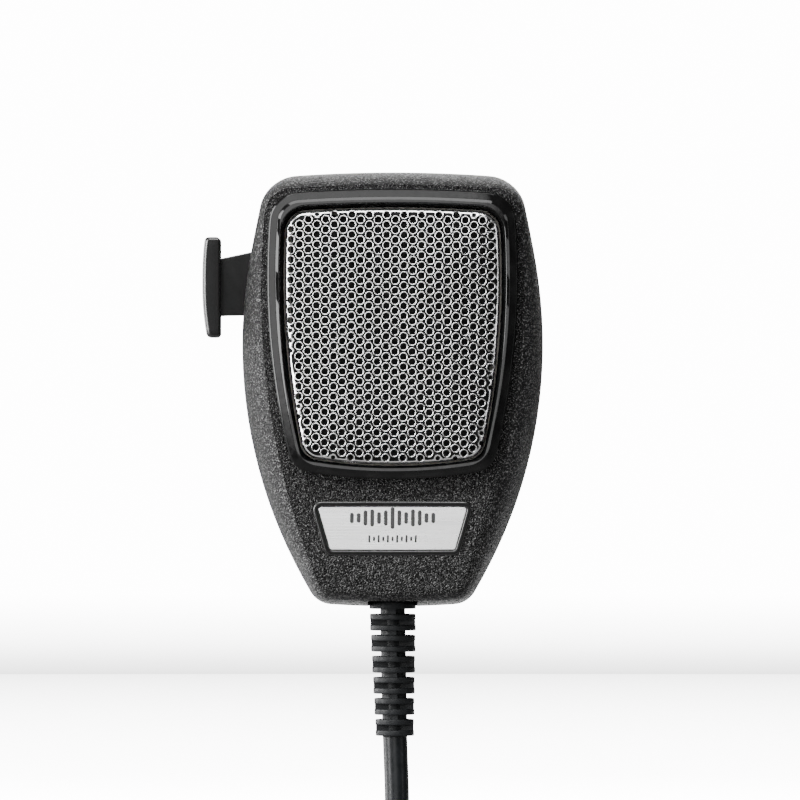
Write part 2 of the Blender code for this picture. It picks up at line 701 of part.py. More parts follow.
def circuit_board():
    board = box("circuit_board", (-0.0190, -0.0140, -0.0380), (0.0140, -0.0124, -0.0052), 0.0)
    place(board, "board_green")
    for number, (x, z) in enumerate(BOARD_SCREWS, 1):
        cut(board, cylinder(f"board_hole_{number}", 0.0015, (x, -0.0150, z), 0.0040, "Y", 14))
        screw(f"board_screw_{number}", x, z, -0.0143, 0.0031, 1, head=0.0021)
    can = [(0.0, 0.0070), (0.0021, 0.0070), (0.0025, 0.0066), (0.0025, 0.0016), (0.0023, 0.0012),
           (0.0025, 0.0008), (0.0025, 0.0), (0.0, 0.0)]
    capacitor = turned("board_capacitor", can, (0.0070, -0.0143, -0.0135), "Y", 18)
    capacitor.rotation_euler = (pi / 2, 0.0, 0.0)
    place(capacitor, "capacitor_sleeve")
    bar = [(0.0, 0.0035), (0.0010, 0.0035), (0.0013, 0.0030), (0.0011, 0.0022), (0.0011, -0.0022),
           (0.0013, -0.0030), (0.0010, -0.0035), (0.0, -0.0035)]
    place(turned("board_resistor", bar, (0.0035, -0.0157, -0.0245), "X", 12), "resistor_body")


def lead_wires():
    """Four cores fan out of the jacket; two leads run from the capsule to the board."""
    start_z = -0.0550
    ends = [(-0.0160, -0.0201, -0.0194), (-0.0130, -0.0201, -0.0194),
            (-0.0100, -0.0201, -0.0194), (0.0030, -0.0150, -0.0330)]
    starts = [(-0.0011, -0.0232), (-0.0011, -0.0209), (0.0011, -0.0209), (0.0011, -0.0232)]
    colours = ["wire_white", "wire_red", "wire_blue", "wire_black"]
    for number, ((x, y), end, colour) in enumerate(zip(starts, ends, colours), 1):
        low = (x, y, start_z)
        rise = (x * 1.6, y, start_z + 0.0045)
        bend = (end[0] * 0.75, (y + end[1]) / 2.0, end[2] - 0.0140)
        tip = (end[0], end[1], end[2])
        near = (end[0], end[1], end[2] - 0.0040)
        path = smooth_path([low, rise, bend, near, tip], 3)
        place(tube(f"lead_wire_{number}", path, 0.0005), colour)
    for number, (side, colour) in enumerate(((-1, "wire_red"), (1, "wire_black")), 1):
        begin = (side * 0.0032, -0.0253, CAPSULE_Z + 0.0020)
        middle = (side * 0.0038, -0.0215, CAPSULE_Z - 0.0010)
        end = (side * 0.0028 + 0.0010, -0.0144, CAPSULE_Z - 0.0030)
        place(tube(f"capsule_lead_{number}", smooth_path([begin, middle, end], 3), 0.0004), colour)


# ---------------------------------------------------------------- cord entry

SEGMENTS = 6              # each segment is two discs with a slot between them
SEGMENT_PITCH = 0.00457
SEGMENT_HEIGHT = 0.0036
DISC_HEIGHT = 0.00125
FIRST_SEGMENT_Z = -0.0681
COLLAR_END_Z = -0.0670
TIP_RADIUS = 0.0041
CORE_RADIUS = 0.0027


def segment_radius(number):
    """Outer radius of a segment; they taper towards the cord."""
    return COLLAR_RADIUS + (TIP_RADIUS - COLLAR_RADIUS) * (number + 0.5) / SEGMENTS


def boot_profile():
    """The boot's outer side: an inner flange, a neck in the wall, a collar and the discs."""
    profile = [(0.0, -0.0619), (0.0054, -0.0619), (0.0056, -0.0621), (0.0056, -0.0638),
               (0.0037, -0.0639), (0.0037, COLLAR_TOP_Z), (COLLAR_RADIUS, COLLAR_TOP_Z - 0.0001),
               (COLLAR_RADIUS, COLLAR_END_Z + 0.0001), (CORE_RADIUS, COLLAR_END_Z)]
    for number in range(SEGMENTS):
        radius = segment_radius(number)
        top = FIRST_SEGMENT_Z - number * SEGMENT_PITCH
        for start in (top, top - SEGMENT_HEIGHT + DISC_HEIGHT):
            stop = start - DISC_HEIGHT
            profile += [(CORE_RADIUS, start), (radius, start - 0.0001), (radius, stop + 0.0001),
                        (CORE_RADIUS, stop)]
    return profile + [(CORE_RADIUS, BOOT_END_Z), (0.0, BOOT_END_Z)]


def strain_relief():
    """The boot, whose discs are joined by webs at the sides and at the front and back in turn."""
    boot = place(turned("strain_relief", boot_profile(), (0, PARTING_Y, 0), "Z", 14), "black_rubber")
    overlap = 0.0003
    for number in range(SEGMENTS):
        reach = segment_radius(number) - 0.0003
        top = FIRST_SEGMENT_Z - number * SEGMENT_PITCH
        gap_top = COLLAR_END_Z if number == 0 else top + SEGMENT_PITCH - SEGMENT_HEIGHT
        join(boot, box(f"front_web_{number + 1}", (-0.0008, PARTING_Y - reach, top - overlap),
                       (0.0008, PARTING_Y + reach, gap_top + overlap)))
        slot_top = top - DISC_HEIGHT
        slot_end = top - SEGMENT_HEIGHT + DISC_HEIGHT
        join(boot, box(f"side_web_{number + 1}", (-reach, PARTING_Y - 0.0016, slot_end - overlap),
                       (reach, PARTING_Y + 0.0016, slot_top + overlap)))
    return boot


def cord_clamp():
    """The jacket's inner end, and the bar that two screws press on it."""
    place(cylinder("cord_inner_end", CORD_RADIUS, (0.0, PARTING_Y, -0.0616), 0.0063, "Z", 16),
          "cord_jacket")
    bar = box("cord_clamp", (-0.0115, -0.0268, -0.0608), (0.0115, -0.0249, -0.0562), 0.0005)
    place(bar, "zinc_steel")
    for number, (x, z) in enumerate(CLAMP_SCREWS, 1):
        cut(bar, cylinder(f"clamp_hole_{number}", 0.0015, (x, -0.0280, z), 0.0050, "Y", 14))
        screw(f"cord_clamp_screw_{number}", x, z, -0.0271, 0.0098, 1, head=0.0022)


# ---------------------------------------------------------------- cord, coil, tie and plug

# Hanging stretch, as (x from the coil's centre, y, z from the coil's centre), and the tail.
CORD_ROUTE = [(-0.0008, -0.0220, 0.0579), (-0.0008, -0.0220, 0.0530), (-0.0004, -0.0220, 0.0470),
              (0.0, -0.0220, 0.0410), (0.0001, -0.0220, 0.0350), (0.0006, -0.0220, 0.0290),
              (0.0026, -0.0218, 0.0230), (0.0062, -0.0212, 0.0178), (0.0113, -0.0203, 0.0139)]
TAIL_ROUTE = [(0.0374, -0.0086, 0.0216), (0.0418, -0.0096, 0.0188), (0.0459, -0.0103, 0.0149),
              (0.0487, -0.0107, 0.0103), (0.0499, -0.0108, 0.0056), (0.0502, -0.0108, 0.0013)]


def coil_points(route):
    """Route points moved from the coil's centre to their places."""
    return [(COIL_X + x, y, COIL_Z + z) for x, y, z in route]


def cord():
    hanging = smooth_path(coil_points(CORD_ROUTE), 2)
    place(tube("cord", hanging, CORD_RADIUS, 3), "cord_jacket")
    tail = smooth_path(coil_points(TAIL_ROUTE), 2)
    place(tube("cord_tail", tail, CORD_RADIUS, 3), "cord_jacket")

    corner = 0.0022
    flat = COIL_HALF - corner
    section = [(COIL_RADIUS - flat, COIL_HALF), (COIL_RADIUS + flat, COIL_HALF),
               (COIL_RADIUS + COIL_HALF, flat), (COIL_RADIUS + COIL_HALF, -flat),
               (COIL_RADIUS + flat, -COIL_HALF), (COIL_RADIUS - flat, -COIL_HALF),
               (COIL_RADIUS - COIL_HALF, -flat), (COIL_RADIUS - COIL_HALF, flat)]
    ring = turned("cord_coil", section, (COIL_X, COIL_Y, COIL_Z), "Y", 36, closed=True)
    place(ring, "cord_jacket")


def around_coil(obj, angle):
    """Swings an object made at the coil's top round the coil's axis, towards +X."""
    centre = Vector((COIL_X, obj.location.y, COIL_Z))
    reach = obj.location.z - COIL_Z
    obj.location = centre + Vector((reach * sin(angle), 0.0, reach * cos(angle)))
    obj.rotation_euler = (0.0, angle, 0.0)
    return obj


def cord_tie():
    """A strap looped round all the turns, just past the place where the hanging cord joins."""
    half_width, slack, thick = 0.0045, 0.0004, 0.0013
    reach = COIL_HALF + slack
    inner_drop = 0.0004
    low = (COIL_X - half_width, COIL_Y - reach, COIL_Z + COIL_RADIUS - reach - inner_drop)
    high = (COIL_X + half_width, COIL_Y + reach, COIL_Z + COIL_RADIUS + reach)
    inside = box("tie_inside", (low[0] - 0.002, *low[1:]), (high[0] + 0.002, *high[1:]))
    outer_low = (low[0], low[1] - thick, low[2] - thick)
    outer_high = (high[0], high[1] + thick, high[2] + thick)
    strap = box("cord_tie", outer_low, outer_high, 0.0008)
    cut(around_coil(strap, TIE_ANGLE), around_coil(inside, TIE_ANGLE))
    place(strap, "strap_fabric")


def plug_turned(name, profile, material, steps=20, closed=False, parent=None):
    piece = turned(name, profile, (PLUG_X, COIL_Y, PLUG_TOP_Z), "Z", steps, closed)
    return place(piece, material, parent)


def plug(spin):
    shell = [(0.0, -0.0006), (0.0036, -0.0006), (0.0036, -0.0001), (0.0052, -0.0001),
             (0.0066, -0.0012), (0.0066, -0.0180), (0.0074, -0.0182), (0.0074, -0.0200),
             (0.0063, -0.0202), (0.0063, -0.0330), (0.0052, -0.0330), (0.0052, -0.0220),
             (0.0, -0.0220)]
    body = plug_turned("plug_shell", shell, "plug_chrome")
    shelf_low = (PLUG_X - 0.0080, COIL_Y - 0.0080, PLUG_TOP_Z - 0.0110)
    shelf_high = (PLUG_X + 0.0080, COIL_Y - 0.0046, PLUG_TOP_Z + 0.0010)
    cut(body, box("clamp_shelf", shelf_low, shelf_high))

    ring = [(0.0067, -0.0206), (0.0088, -0.0206), (0.0094, -0.0212), (0.0094, -0.0346),
            (0.0090, -0.0352), (0.0080, -0.0352), (0.0080, -0.0224), (0.0067, -0.0224)]
    plug_turned("plug_ring", ring, "plug_chrome", 20, True, spin)

    insert = cylinder("plug_insert", 0.0049, (PLUG_X, COIL_Y, PLUG_TOP_Z - 0.0330), 0.0104, "Z", 20)
    place(insert, "insert_plastic")
    for number in range(4):
        angle = pi / 4 + number * pi / 2
        x = PLUG_X + 0.0026 * cos(angle)
        y = COIL_Y + 0.0026 * sin(angle)
        hole = cylinder(f"socket_hole_{number + 1}", 0.0013, (x, y, PLUG_TOP_Z - 0.0340), 0.0080,
                        "Z", 10)
        cut(insert, hole)
        contact = cylinder(f"plug_contact_{number + 1}", 0.0009, (x, y, PLUG_TOP_Z - 0.0328),
                           0.0062, "Z", 10)
        place(contact, "brass")

    clamp = box("plug_clamp", (PLUG_X - 0.0050, COIL_Y - 0.0066, PLUG_TOP_Z - 0.0106),
                (PLUG_X + 0.0050, COIL_Y - 0.0049, PLUG_TOP_Z - 0.0002), 0.0005)
    place(clamp, "plug_chrome")
    for number, side in enumerate((-1, 1), 1):
        at_x, at_z = PLUG_X + side * 0.0030, PLUG_TOP_Z - 0.0054
        screw(f"plug_clamp_screw_{number}", at_x, at_z, COIL_Y - 0.0069, 0.0001, 1,
              head=0.0015, shank=0.0008)


# ---------------------------------------------------------------- assembly


def shade(obj):
    """Smooth shading with sharp edges kept, on every meshed part."""
    if obj.type != "MESH":
        return
    obj.data.shade_smooth()
    obj.data.set_sharp_from_angle(angle=radians(35))


def build():
    hinge = empty_at("ptt_hinge", (PIVOT_X, PARTING_Y, PIVOT_Z))
    spin = empty_at("plug_ring_axis", (PLUG_X, COIL_Y, PLUG_TOP_Z))
    front_shell()
    rear_shell()
    case_screws()
    hang_button()
    grille_bezel()
    grille_screen()
    dust_cloth()
    nameplate()
    capsule()
    ptt_lever(hinge)
    pivot_and_spring(hinge)
    switch()
    circuit_board()
    lead_wires()
    strain_relief()
    cord_clamp()
    cord()
    cord_tie()
    plug(spin)
    for obj in PARTS.objects:
        shade(obj)


build()
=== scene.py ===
"""The look of the palm microphone: visible pieces, materials, cord, light and camera.

Metres, +Z up, the grille faces -Y.  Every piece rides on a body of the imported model.
"""

from collections import namedtuple
from math import atan2, cos, exp, pi, radians, sin, sqrt

import bmesh
import bpy
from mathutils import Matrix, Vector
from mathutils.geometry import delaunay_2d_cdt
from mathutils.kdtree import KDTree

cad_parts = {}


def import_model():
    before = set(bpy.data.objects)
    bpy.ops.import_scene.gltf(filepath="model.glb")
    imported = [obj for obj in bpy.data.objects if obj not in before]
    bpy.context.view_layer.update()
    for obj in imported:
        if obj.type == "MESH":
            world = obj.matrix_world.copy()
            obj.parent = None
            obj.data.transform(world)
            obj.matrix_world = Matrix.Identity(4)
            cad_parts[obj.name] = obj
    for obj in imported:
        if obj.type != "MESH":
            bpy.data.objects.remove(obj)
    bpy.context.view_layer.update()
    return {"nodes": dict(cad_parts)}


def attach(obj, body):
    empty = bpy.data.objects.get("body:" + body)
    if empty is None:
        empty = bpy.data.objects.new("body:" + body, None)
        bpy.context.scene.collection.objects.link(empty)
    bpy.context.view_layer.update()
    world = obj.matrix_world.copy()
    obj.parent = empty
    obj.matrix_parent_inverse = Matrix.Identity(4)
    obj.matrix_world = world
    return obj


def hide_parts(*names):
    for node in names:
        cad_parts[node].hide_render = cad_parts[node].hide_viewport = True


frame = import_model()

# ---------------------------------------------------------------- driving sizes

BACK_Y = -0.0080
PARTING_Y = -0.0220
FACE_Y = -0.0380
WALL = 0.0022
GAP = 0.0003
CORD_RADIUS = 0.00265
BOOT_END_Z = -0.0948
COLLAR_TOP_Z = -0.0654
COLLAR_RADIUS = 0.00505
PIVOT_X, PIVOT_Z = -0.0262, -0.0217
PLUNGER_Z = PIVOT_Z + 0.0120
COIL_X, COIL_Y, COIL_Z = 0.0008, -0.0108, -0.1530
COIL_RADIUS = 0.0316
TURN_PITCH = 0.0054
COIL_HALF = 1.5 * TURN_PITCH
TIE_ANGLE = 2.23
PLUG_X = COIL_X + 0.0502
PLUG_TOP_Z = COIL_Z + 0.0010
CASE_SCREWS = [(-0.0150, 0.0213), (0.0150, 0.0213), (-0.0145, -0.0510), (0.0145, -0.0510)]
CLAMP_SCREWS = [(-0.0080, -0.0585), (0.0080, -0.0585)]
BOARD_SCREWS = [(-0.0130, -0.0340), (0.0100, -0.0340)]
FLOOR_Z = -0.1966

Outline = namedtuple(
    "Outline",
    "half_width widest_z side_bow top_z bottom_z top_bow bottom_bow top_corner bottom_corner",
)

HOUSING = Outline(0.03265, -0.0097, 0.104, 0.0277, -0.0665, 0.30, 0.20, 0.0080, 0.0055)
FRONT_FACE = Outline(0.0276, 0.0050, 0.185, 0.0244, -0.0633, 0.30, 0.16, 0.0058, 0.0040)
BACK_FACE = Outline(0.0294, -0.0097, 0.101, 0.0246, -0.0633, 0.30, 0.20, 0.0055, 0.0040)
BEZEL = Outline(0.02705, 0.0050, 0.160, 0.0238, -0.0388, 0.30, 0.11, 0.0068, 0.0052)
GRILLE = Outline(0.0232, 0.0045, 0.180, 0.0195, -0.0356, 0.30, 0.11, 0.0046, 0.0042)
PLATE = Outline(0.0500, 0.2000, 0.900, -0.0447, -0.0540, 2.00, 2.00, 0.0006, 0.0006)


def inset(outline, distance):
    """The same outline moved inwards by a distance, or outwards by a negative one."""
    smallest = 0.0004
    return Outline(
        outline.half_width - distance,
        outline.widest_z,
        outline.side_bow - distance,
        outline.top_z - distance,
        outline.bottom_z + distance,
        outline.top_bow - distance,
        outline.bottom_bow - distance,
        max(outline.top_corner - distance, smallest),
        max(outline.bottom_corner - distance, smallest),
    )


def blend(first, second, share):
    """An outline part of the way from the first to the second."""
    return Outline(*(a + (b - a) * share for a, b in zip(first, second)))


def fillet_centre(outline, end_z, end_bow, corner, towards):
    """Centre of the right-hand fillet between a side arc and the top (+1) or bottom (-1) arc."""
    side = Vector((outline.half_width - outline.side_bow, outline.widest_z))
    end = Vector((0.0, end_z - towards * end_bow))
    reach_side = outline.side_bow - corner
    reach_end = end_bow - corner
    apart = (end - side).length
    along = (reach_side**2 - reach_end**2 + apart**2) / (2.0 * apart)
    across = sqrt(max(reach_side**2 - along**2, 0.0))
    direction = (end - side) / apart
    normal = Vector((-direction.y, direction.x))
    options = [side + direction * along + normal * across * sign for sign in (-1.0, 1.0)]
    corner_point = Vector((outline.half_width, end_z))
    return min(options, key=lambda point: (point - corner_point).length), side, end


def arc(centre, radius, start, stop, steps):
    """Points along an arc, without its last one."""
    angles = [start + (stop - start) * step / steps for step in range(steps)]
    return [(centre[0] + radius * cos(a), centre[1] + radius * sin(a)) for a in angles]


def round_corners(corners):
    """Points round quarter-circle corners, each given as (centre, radius, start angle)."""
    points = []
    for centre, radius, start in corners:
        stop = start + pi / 2
        points += arc(centre, radius, start, stop, 7)
        points.append((centre[0] + radius * cos(stop), centre[1] + radius * sin(stop)))
    return points


def outline_points(outline, side_steps=24, end_steps=10, corner_steps=9):
    """The outline as (x, z) points, counter-clockwise, beginning at the bottom centre."""
    low, side, low_end = fillet_centre(
        outline, outline.bottom_z, outline.bottom_bow, outline.bottom_corner, -1.0
    )
    high, side, high_end = fillet_centre(
        outline, outline.top_z, outline.top_bow, outline.top_corner, 1.0
    )
    low_start = atan2(low.y - low_end.y, low.x - low_end.x)
    side_start = atan2(low.y - side.y, low.x - side.x)
    side_stop = atan2(high.y - side.y, high.x - side.x)
    high_stop = atan2(high.y - high_end.y, high.x - high_end.x)
    right = arc(low_end, outline.bottom_bow, -pi / 2, low_start, end_steps)
    right += arc(low, outline.bottom_corner, low_start, side_start, corner_steps)
    right += arc(side, outline.side_bow, side_start, side_stop, side_steps)
    right += arc(high, outline.top_corner, side_stop, high_stop, corner_steps)
    right += arc(high_end, outline.top_bow, high_stop, pi / 2, end_steps)
    top = (0.0, outline.top_z)
    left = [(-x, z) for x, z in reversed(right[1:])]
    return right + [top] + left


# ---------------------------------------------------------------- mesh makers

SHARP = 38                  # degrees between two faces, above which their edge stays sharp


def mesh_object(name, bm, sharp=SHARP):
    """An object from a bmesh, smooth-shaded with sharp edges kept."""
    bmesh.ops.recalc_face_normals(bm, faces=bm.faces)
    mesh = bpy.data.meshes.new(name)
    bm.to_mesh(mesh)
    bm.free()
    mesh.shade_smooth()
    mesh.set_sharp_from_angle(angle=radians(sharp))
    obj = bpy.data.objects.new(name, mesh)
    bpy.context.scene.collection.objects.link(obj)
    return obj


def bridge(bm, lower, upper):
    """Faces between two closed loops of as many vertices."""
    count = len(lower)
    for i in range(count):
        j = (i + 1) % count
        bm.faces.new((lower[i], lower[j], upper[j], upper[i]))


def stack(name, loops_of_points, ring=False, sharp=SHARP):
    """A solid through loops of (x, y, z) points; a ring's last loop joins its first."""
    bm = bmesh.new()
    loops = [[bm.verts.new(point) for point in points] for points in loops_of_points]
    for lower, upper in zip(loops, loops[1:]):
        bridge(bm, lower, upper)
    if ring:
        bridge(bm, loops[-1], loops[0])
    else:
        bm.faces.new(loops[0])
        bm.faces.new(loops[-1])
    return mesh_object(name, bm, sharp)


def loft(name, sections, ring=False, sharp=SHARP):
    """A solid through (outline, y) sections."""
    loops = [[(x, y, z) for x, z in outline_points(outline)] for outline, y in sections]
    return stack(name, loops, ring, sharp)


def rounded(profile, radius, steps):
    """A polyline whose inner corners are rounded."""
    points = [Vector(p) for p in profile]
    result = [tuple(points[0])]
    for before, corner, after in zip(points, points[1:], points[2:]):
        back, ahead = before - corner, after - corner
        reach = min(radius, back.length * 0.45, ahead.length * 0.45)
        start = corner + back.normalized() * reach
        stop = corner + ahead.normalized() * reach
        for step in range(steps + 1):
            t = step / steps
            point = start * (1 - t) ** 2 + corner * 2 * t * (1 - t) + stop * t**2
            result.append(tuple(point))
    return result + [tuple(points[-1])]


def lathe(name, profile, centre, axis="Y", steps=64, closed=False, wave=None, sharp=SHARP):
    """A turned solid from (radius, height) points.  wave(angle, height) scales the radius."""
    bm = bmesh.new()
    rings = []
    for radius, height in profile:
        if radius < 1e-7:
            rings.append([bm.verts.new(turned_point(0.0, 0.0, height, centre, axis))])
            continue
        ring = []
        for step in range(steps):
            angle = 2.0 * pi * step / steps
            scale = wave(angle, height) if wave else 1.0
            ring.append(bm.verts.new(turned_point(radius * scale, angle, height, centre, axis)))
        rings.append(ring)
    pairs = list(zip(rings, rings[1:]))
    if closed:
        pairs.append((rings[-1], rings[0]))
    for lower, upper in pairs:
        if len(lower) == 1 and len(upper) == 1:
            continue
        if len(lower) == 1 or len(upper) == 1:
            tip, ring = (lower[0], upper) if len(lower) == 1 else (upper[0], lower)
            for i in range(steps):
                bm.faces.new((ring[i], ring[(i + 1) % steps], tip))
        else:
            bridge(bm, lower, upper)
    return mesh_object(name, bm, sharp)


def turned_point(radius, angle, height, centre, axis):
    """A point at a radius and angle round an axis; heights run along the axis."""
    a, b = radius * cos(angle), radius * sin(angle)
    offset = {"X": (height, a, b), "Y": (a, height, b), "Z": (a, b, height)}[axis]
    return tuple(c + o for c, o in zip(centre, offset))


def block(name, low, high, bevel=0.0):
    """A box between two corners, with rounded edges where a width is given."""
    bm = bmesh.new()
    bmesh.ops.create_cube(bm, size=1.0)
    low, high = Vector(low), Vector(high)
    middle = (low + high) / 2.0
    for vertex in bm.verts:
        vertex.co = middle + Vector(a * b for a, b in zip(vertex.co, high - low))
    if bevel:
        bmesh.ops.bevel(bm, geom=bm.edges, offset=bevel, segments=4, profile=0.5,
                        affect="EDGES")
    return mesh_object(name, bm)


def column(name, outline, low, high, axis="Z", bevel=0.0):
    """A closed outline of (x, z) or (x, y) points extruded along Y or Z, edges rounded."""
    bm = bmesh.new()
    loops = []
    for level in (low, high):
        at = (lambda a, b: (a, level, b)) if axis == "Y" else (lambda a, b: (a, b, level))
        loops.append([bm.verts.new(at(a, b)) for a, b in outline])
        bm.faces.new(loops[-1])
    bridge(bm, loops[0], loops[1])
    if bevel:
        rims = [e for e in bm.edges if e.verts[0] in loops[0] and e.verts[1] in loops[0]
                or e.verts[0] in loops[1] and e.verts[1] in loops[1]]
        bmesh.ops.bevel(bm, geom=rims, offset=bevel, segments=3, profile=0.5, affect="EDGES")
    return mesh_object(name, bm)


def combine(target, tools, operation, sharp=SHARP):
    """Unites or subtracts closed tool objects, and keeps only the resulting mesh."""
    for tool in tools:
        modifier = target.modifiers.new(tool.name, "BOOLEAN")
        modifier.operation = operation
        modifier.solver = "EXACT"
        modifier.object = tool
    graph = bpy.context.evaluated_depsgraph_get()
    mesh = bpy.data.meshes.new_from_object(target.evaluated_get(graph))
    target.modifiers.clear()
    target.data = mesh
    mesh.shade_smooth()
    mesh.set_sharp_from_angle(angle=radians(sharp))
    for tool in tools:
        bpy.data.objects.remove(tool, do_unlink=True)
    return target


def finish_piece(obj, look, *nodes, body="housing", slot=None):
    """Gives a piece its look and body, and hides the CAD nodes it stands for; its slot is not used.
    """
    obj.data.materials.clear()
    obj.data.materials.append(MAT[look])
    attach(obj, body)
    if nodes:
        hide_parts(*nodes)
    return obj


# ---------------------------------------------------------------- materials


class Nodes:
    """Makes and wires shader nodes in one tree."""

    def __init__(self, tree):
        self.tree = tree

    def feed(self, socket, value):
        if isinstance(value, bpy.types.NodeSocket):
            self.tree.links.new(value, socket)
        else:
            socket.default_value = value

    def node(self, kind, settings=(), **inputs):
        """A node with its settings; an input's name has _ for each space."""
        made = self.tree.nodes.new(kind)
        for key, value in dict(settings).items():
            setattr(made, key, value)
        for key, value in inputs.items():
            self.feed(made.inputs[key.replace("_", " ")], value)
        return made

    def math(self, operation, first, second=0.0):
        made = self.node("ShaderNodeMath", {"operation": operation})
        self.feed(made.inputs[0], first)
        self.feed(made.inputs[1], second)
        return made.outputs[0]

    def between(self, share, first, second):
        """A number between two numbers."""
        made = self.node("ShaderNodeMix", {"data_type": "FLOAT"})
        for socket, value in zip((0, 2, 3), (share, first, second)):
            self.feed(made.inputs[socket], value)
        return made.outputs[0]

    def gradient(self, value, stops):
        """Brightness that follows a value through (value, brightness) stops."""
        result = stops[0][1]
        for (start, low), (stop, high) in zip(stops, stops[1:]):
            part = self.node("ShaderNodeMapRange", Value=value, From_Min=start, From_Max=stop,
                             To_Min=0.0, To_Max=high - low)
            result = self.math("ADD", part.outputs[0], result)
        return result

    def seen_or_lighting(self, kind, lighting, seen):
        """What the camera sees, and what lights the object instead."""
        path = self.node("ShaderNodeLightPath")
        made = self.node(kind)
        first = 2 if kind == "ShaderNodeMix" else 1
        self.feed(made.inputs[0], path.outputs["Is Camera Ray"])
        self.feed(made.inputs[first], lighting)
        self.feed(made.inputs[first + 1], seen)
        return made.outputs[0]


class Look(Nodes):
    """Builds one procedural material from nodes in object coordinates, which are metres."""

    def __init__(self, name, colour, roughness, metallic=0.0, **fixed):
        self.material = bpy.data.materials.new("look_" + name)
        self.material.use_nodes = True
        super().__init__(self.material.node_tree)
        self.shader = self.tree.nodes["Principled BSDF"]
        self.set("Base Color", (*colour, 1.0))
        self.set("Roughness", roughness)
        self.set("Metallic", metallic)
        for key, value in fixed.items():
            self.set(key.replace("_", " "), value)
        self.place = self.node("ShaderNodeTexCoord").outputs["Object"]

    def set(self, socket, value):
        self.feed(self.shader.inputs[socket], value)

    def stretched(self, scale):
        """Object coordinates with each axis scaled."""
        return self.node("ShaderNodeMapping", Vector=self.place, Scale=scale).outputs[0]

    def facing(self):
        """How squarely the surface faces the front or the back: 1 when square on, 0 when beside."""
        normal = self.node("ShaderNodeTexCoord").outputs["Normal"]
        return self.math("ABSOLUTE", self.node("ShaderNodeSeparateXYZ", Vector=normal).outputs[1])

    def noise(self, scale, detail=2.0, roughness=0.5, vector=None, out="Fac"):
        made = self.node("ShaderNodeTexNoise", Vector=vector or self.place, Scale=scale,
                         Detail=detail, Roughness=roughness)
        return made.outputs[out]

    def warped(self, scale, amount):
        """Object coordinates pushed about by noise."""
        push = self.node("ShaderNodeVectorMath", {"operation": "MULTIPLY_ADD"})
        self.feed(push.inputs[0], self.noise(scale, 2.0, out="Color"))
        self.feed(push.inputs[1], (amount, amount, amount))
        self.feed(push.inputs[2], self.place)
        return push.outputs[0]

    def pebbles(self, scale, vector, smoothness):
        """Rounded cells, as a distance from their centres."""
        made = self.node("ShaderNodeTexVoronoi", {"feature": "SMOOTH_F1"}, Vector=vector,
                         Scale=scale, Smoothness=smoothness)
        return made.outputs["Distance"]

    def range(self, value, low, high, to_low=0.0, to_high=1.0):
        """A value eased from one range into another."""
        made = self.node("ShaderNodeMapRange", {"interpolation_type": "SMOOTHSTEP"}, Value=value,
                         From_Min=low, From_Max=high, To_Min=to_low, To_Max=to_high)
        return made.outputs[0]

    def bump(self, height, distance, strength=1.0):
        self.set("Normal", self.node("ShaderNodeBump", Height=height, Distance=distance,
                                     Strength=strength).outputs[0])

    def tinted(self, value, low, high, dark, light):
        """Base colour between two colours as a texture value goes from low to high."""
        made = self.node("ShaderNodeMix", {"data_type": "RGBA"})
        share = self.range(value, low, high)
        for socket, part in zip((0, 6, 7), (share, (*dark, 1.0), (*light, 1.0))):
            self.feed(made.inputs[socket], part)
        self.set("Base Color", made.outputs[2])

    def varied(self, value, low, high, to_low, to_high):
        """Roughness that follows a texture value."""
        self.set("Roughness", self.range(value, low, high, to_low, to_high))


def grey(value):
    """A grey as a colour."""
    return (value, value, value)


def housing_plastic():
    """Black moulded plastic with a leather-like grain, coarse on the front and finer beside, with
    painted glints as bright specks in its colour.
    """
    look = Look("housing_plastic", grey(0.012), 0.34, Specular_IOR_Level=0.30)
    front = look.range(look.facing(), 0.80, 0.96)
    warp = look.warped(1500.0, 0.00022)
    pebbles = look.pebbles(2500.0, warp, 0.20)
    wrinkles = look.noise(3300.0, 1.0, 0.5, warp)
    fine = look.noise(2700.0, 1.0)
    specks = look.noise(4200.0, 1.0)
    coarse = look.math("SUBTRACT", wrinkles, look.math("MULTIPLY", pebbles, 0.9))
    finer = look.math("ADD", look.math("MULTIPLY", fine, 0.8), look.math("MULTIPLY", wrinkles, 0.5))
    look.bump(look.between(front, finer, coarse), 0.00075)
    # Painted glints: bright specks in the base colour stand in for light caught by the grain, finer
    # on the sides.
    painted_glint_mask = look.between(front, fine, specks)
    look.tinted(painted_glint_mask, 0.56, 0.66, grey(0.002), grey(0.180))
    look.varied(painted_glint_mask, 0.35, 0.65, 0.46, 0.30)
    return look.material


def lever_plastic():
    """Smooth satin black plastic, handled to a shine on its rounded edges, with faint scuffs."""
    satin, shine, smoother = 0.16, 0.75, 0.16
    look = Look("lever_plastic", (0.012, 0.012, 0.013), 0.45, Specular_IOR_Level=satin)
    edge = look.range(look.facing(), 0.98, 0.88)
    look.set("Specular IOR Level", look.math("ADD", look.math("MULTIPLY", edge, shine), satin))
    scuffs = look.noise(260.0, 4.0, 0.7, look.stretched((1.0, 1.0, 0.25)))
    look.tinted(scuffs, 0.45, 0.75, grey(0.005), grey(0.010))
    rough = look.range(scuffs, 0.40, 0.70, 0.38, 0.50)
    look.set("Roughness", look.math("SUBTRACT", rough, look.math("MULTIPLY", edge, smoother)))
    look.bump(look.noise(5200.0, 2.0), 0.00002, 0.5)
    return look.material


def frame_gloss():
    """Glossy black moulding round the grille."""
    look = Look("frame_gloss", (0.006, 0.006, 0.007), 0.09, Specular_IOR_Level=0.24)
    look.tinted(look.noise(300.0, 3.0), 0.3, 0.8, grey(0.004), grey(0.009))
    look.varied(look.noise(900.0, 3.0), 0.35, 0.75, 0.07, 0.14)
    look.bump(look.noise(450.0, 2.0), 0.00003, 0.15)
    return look.material


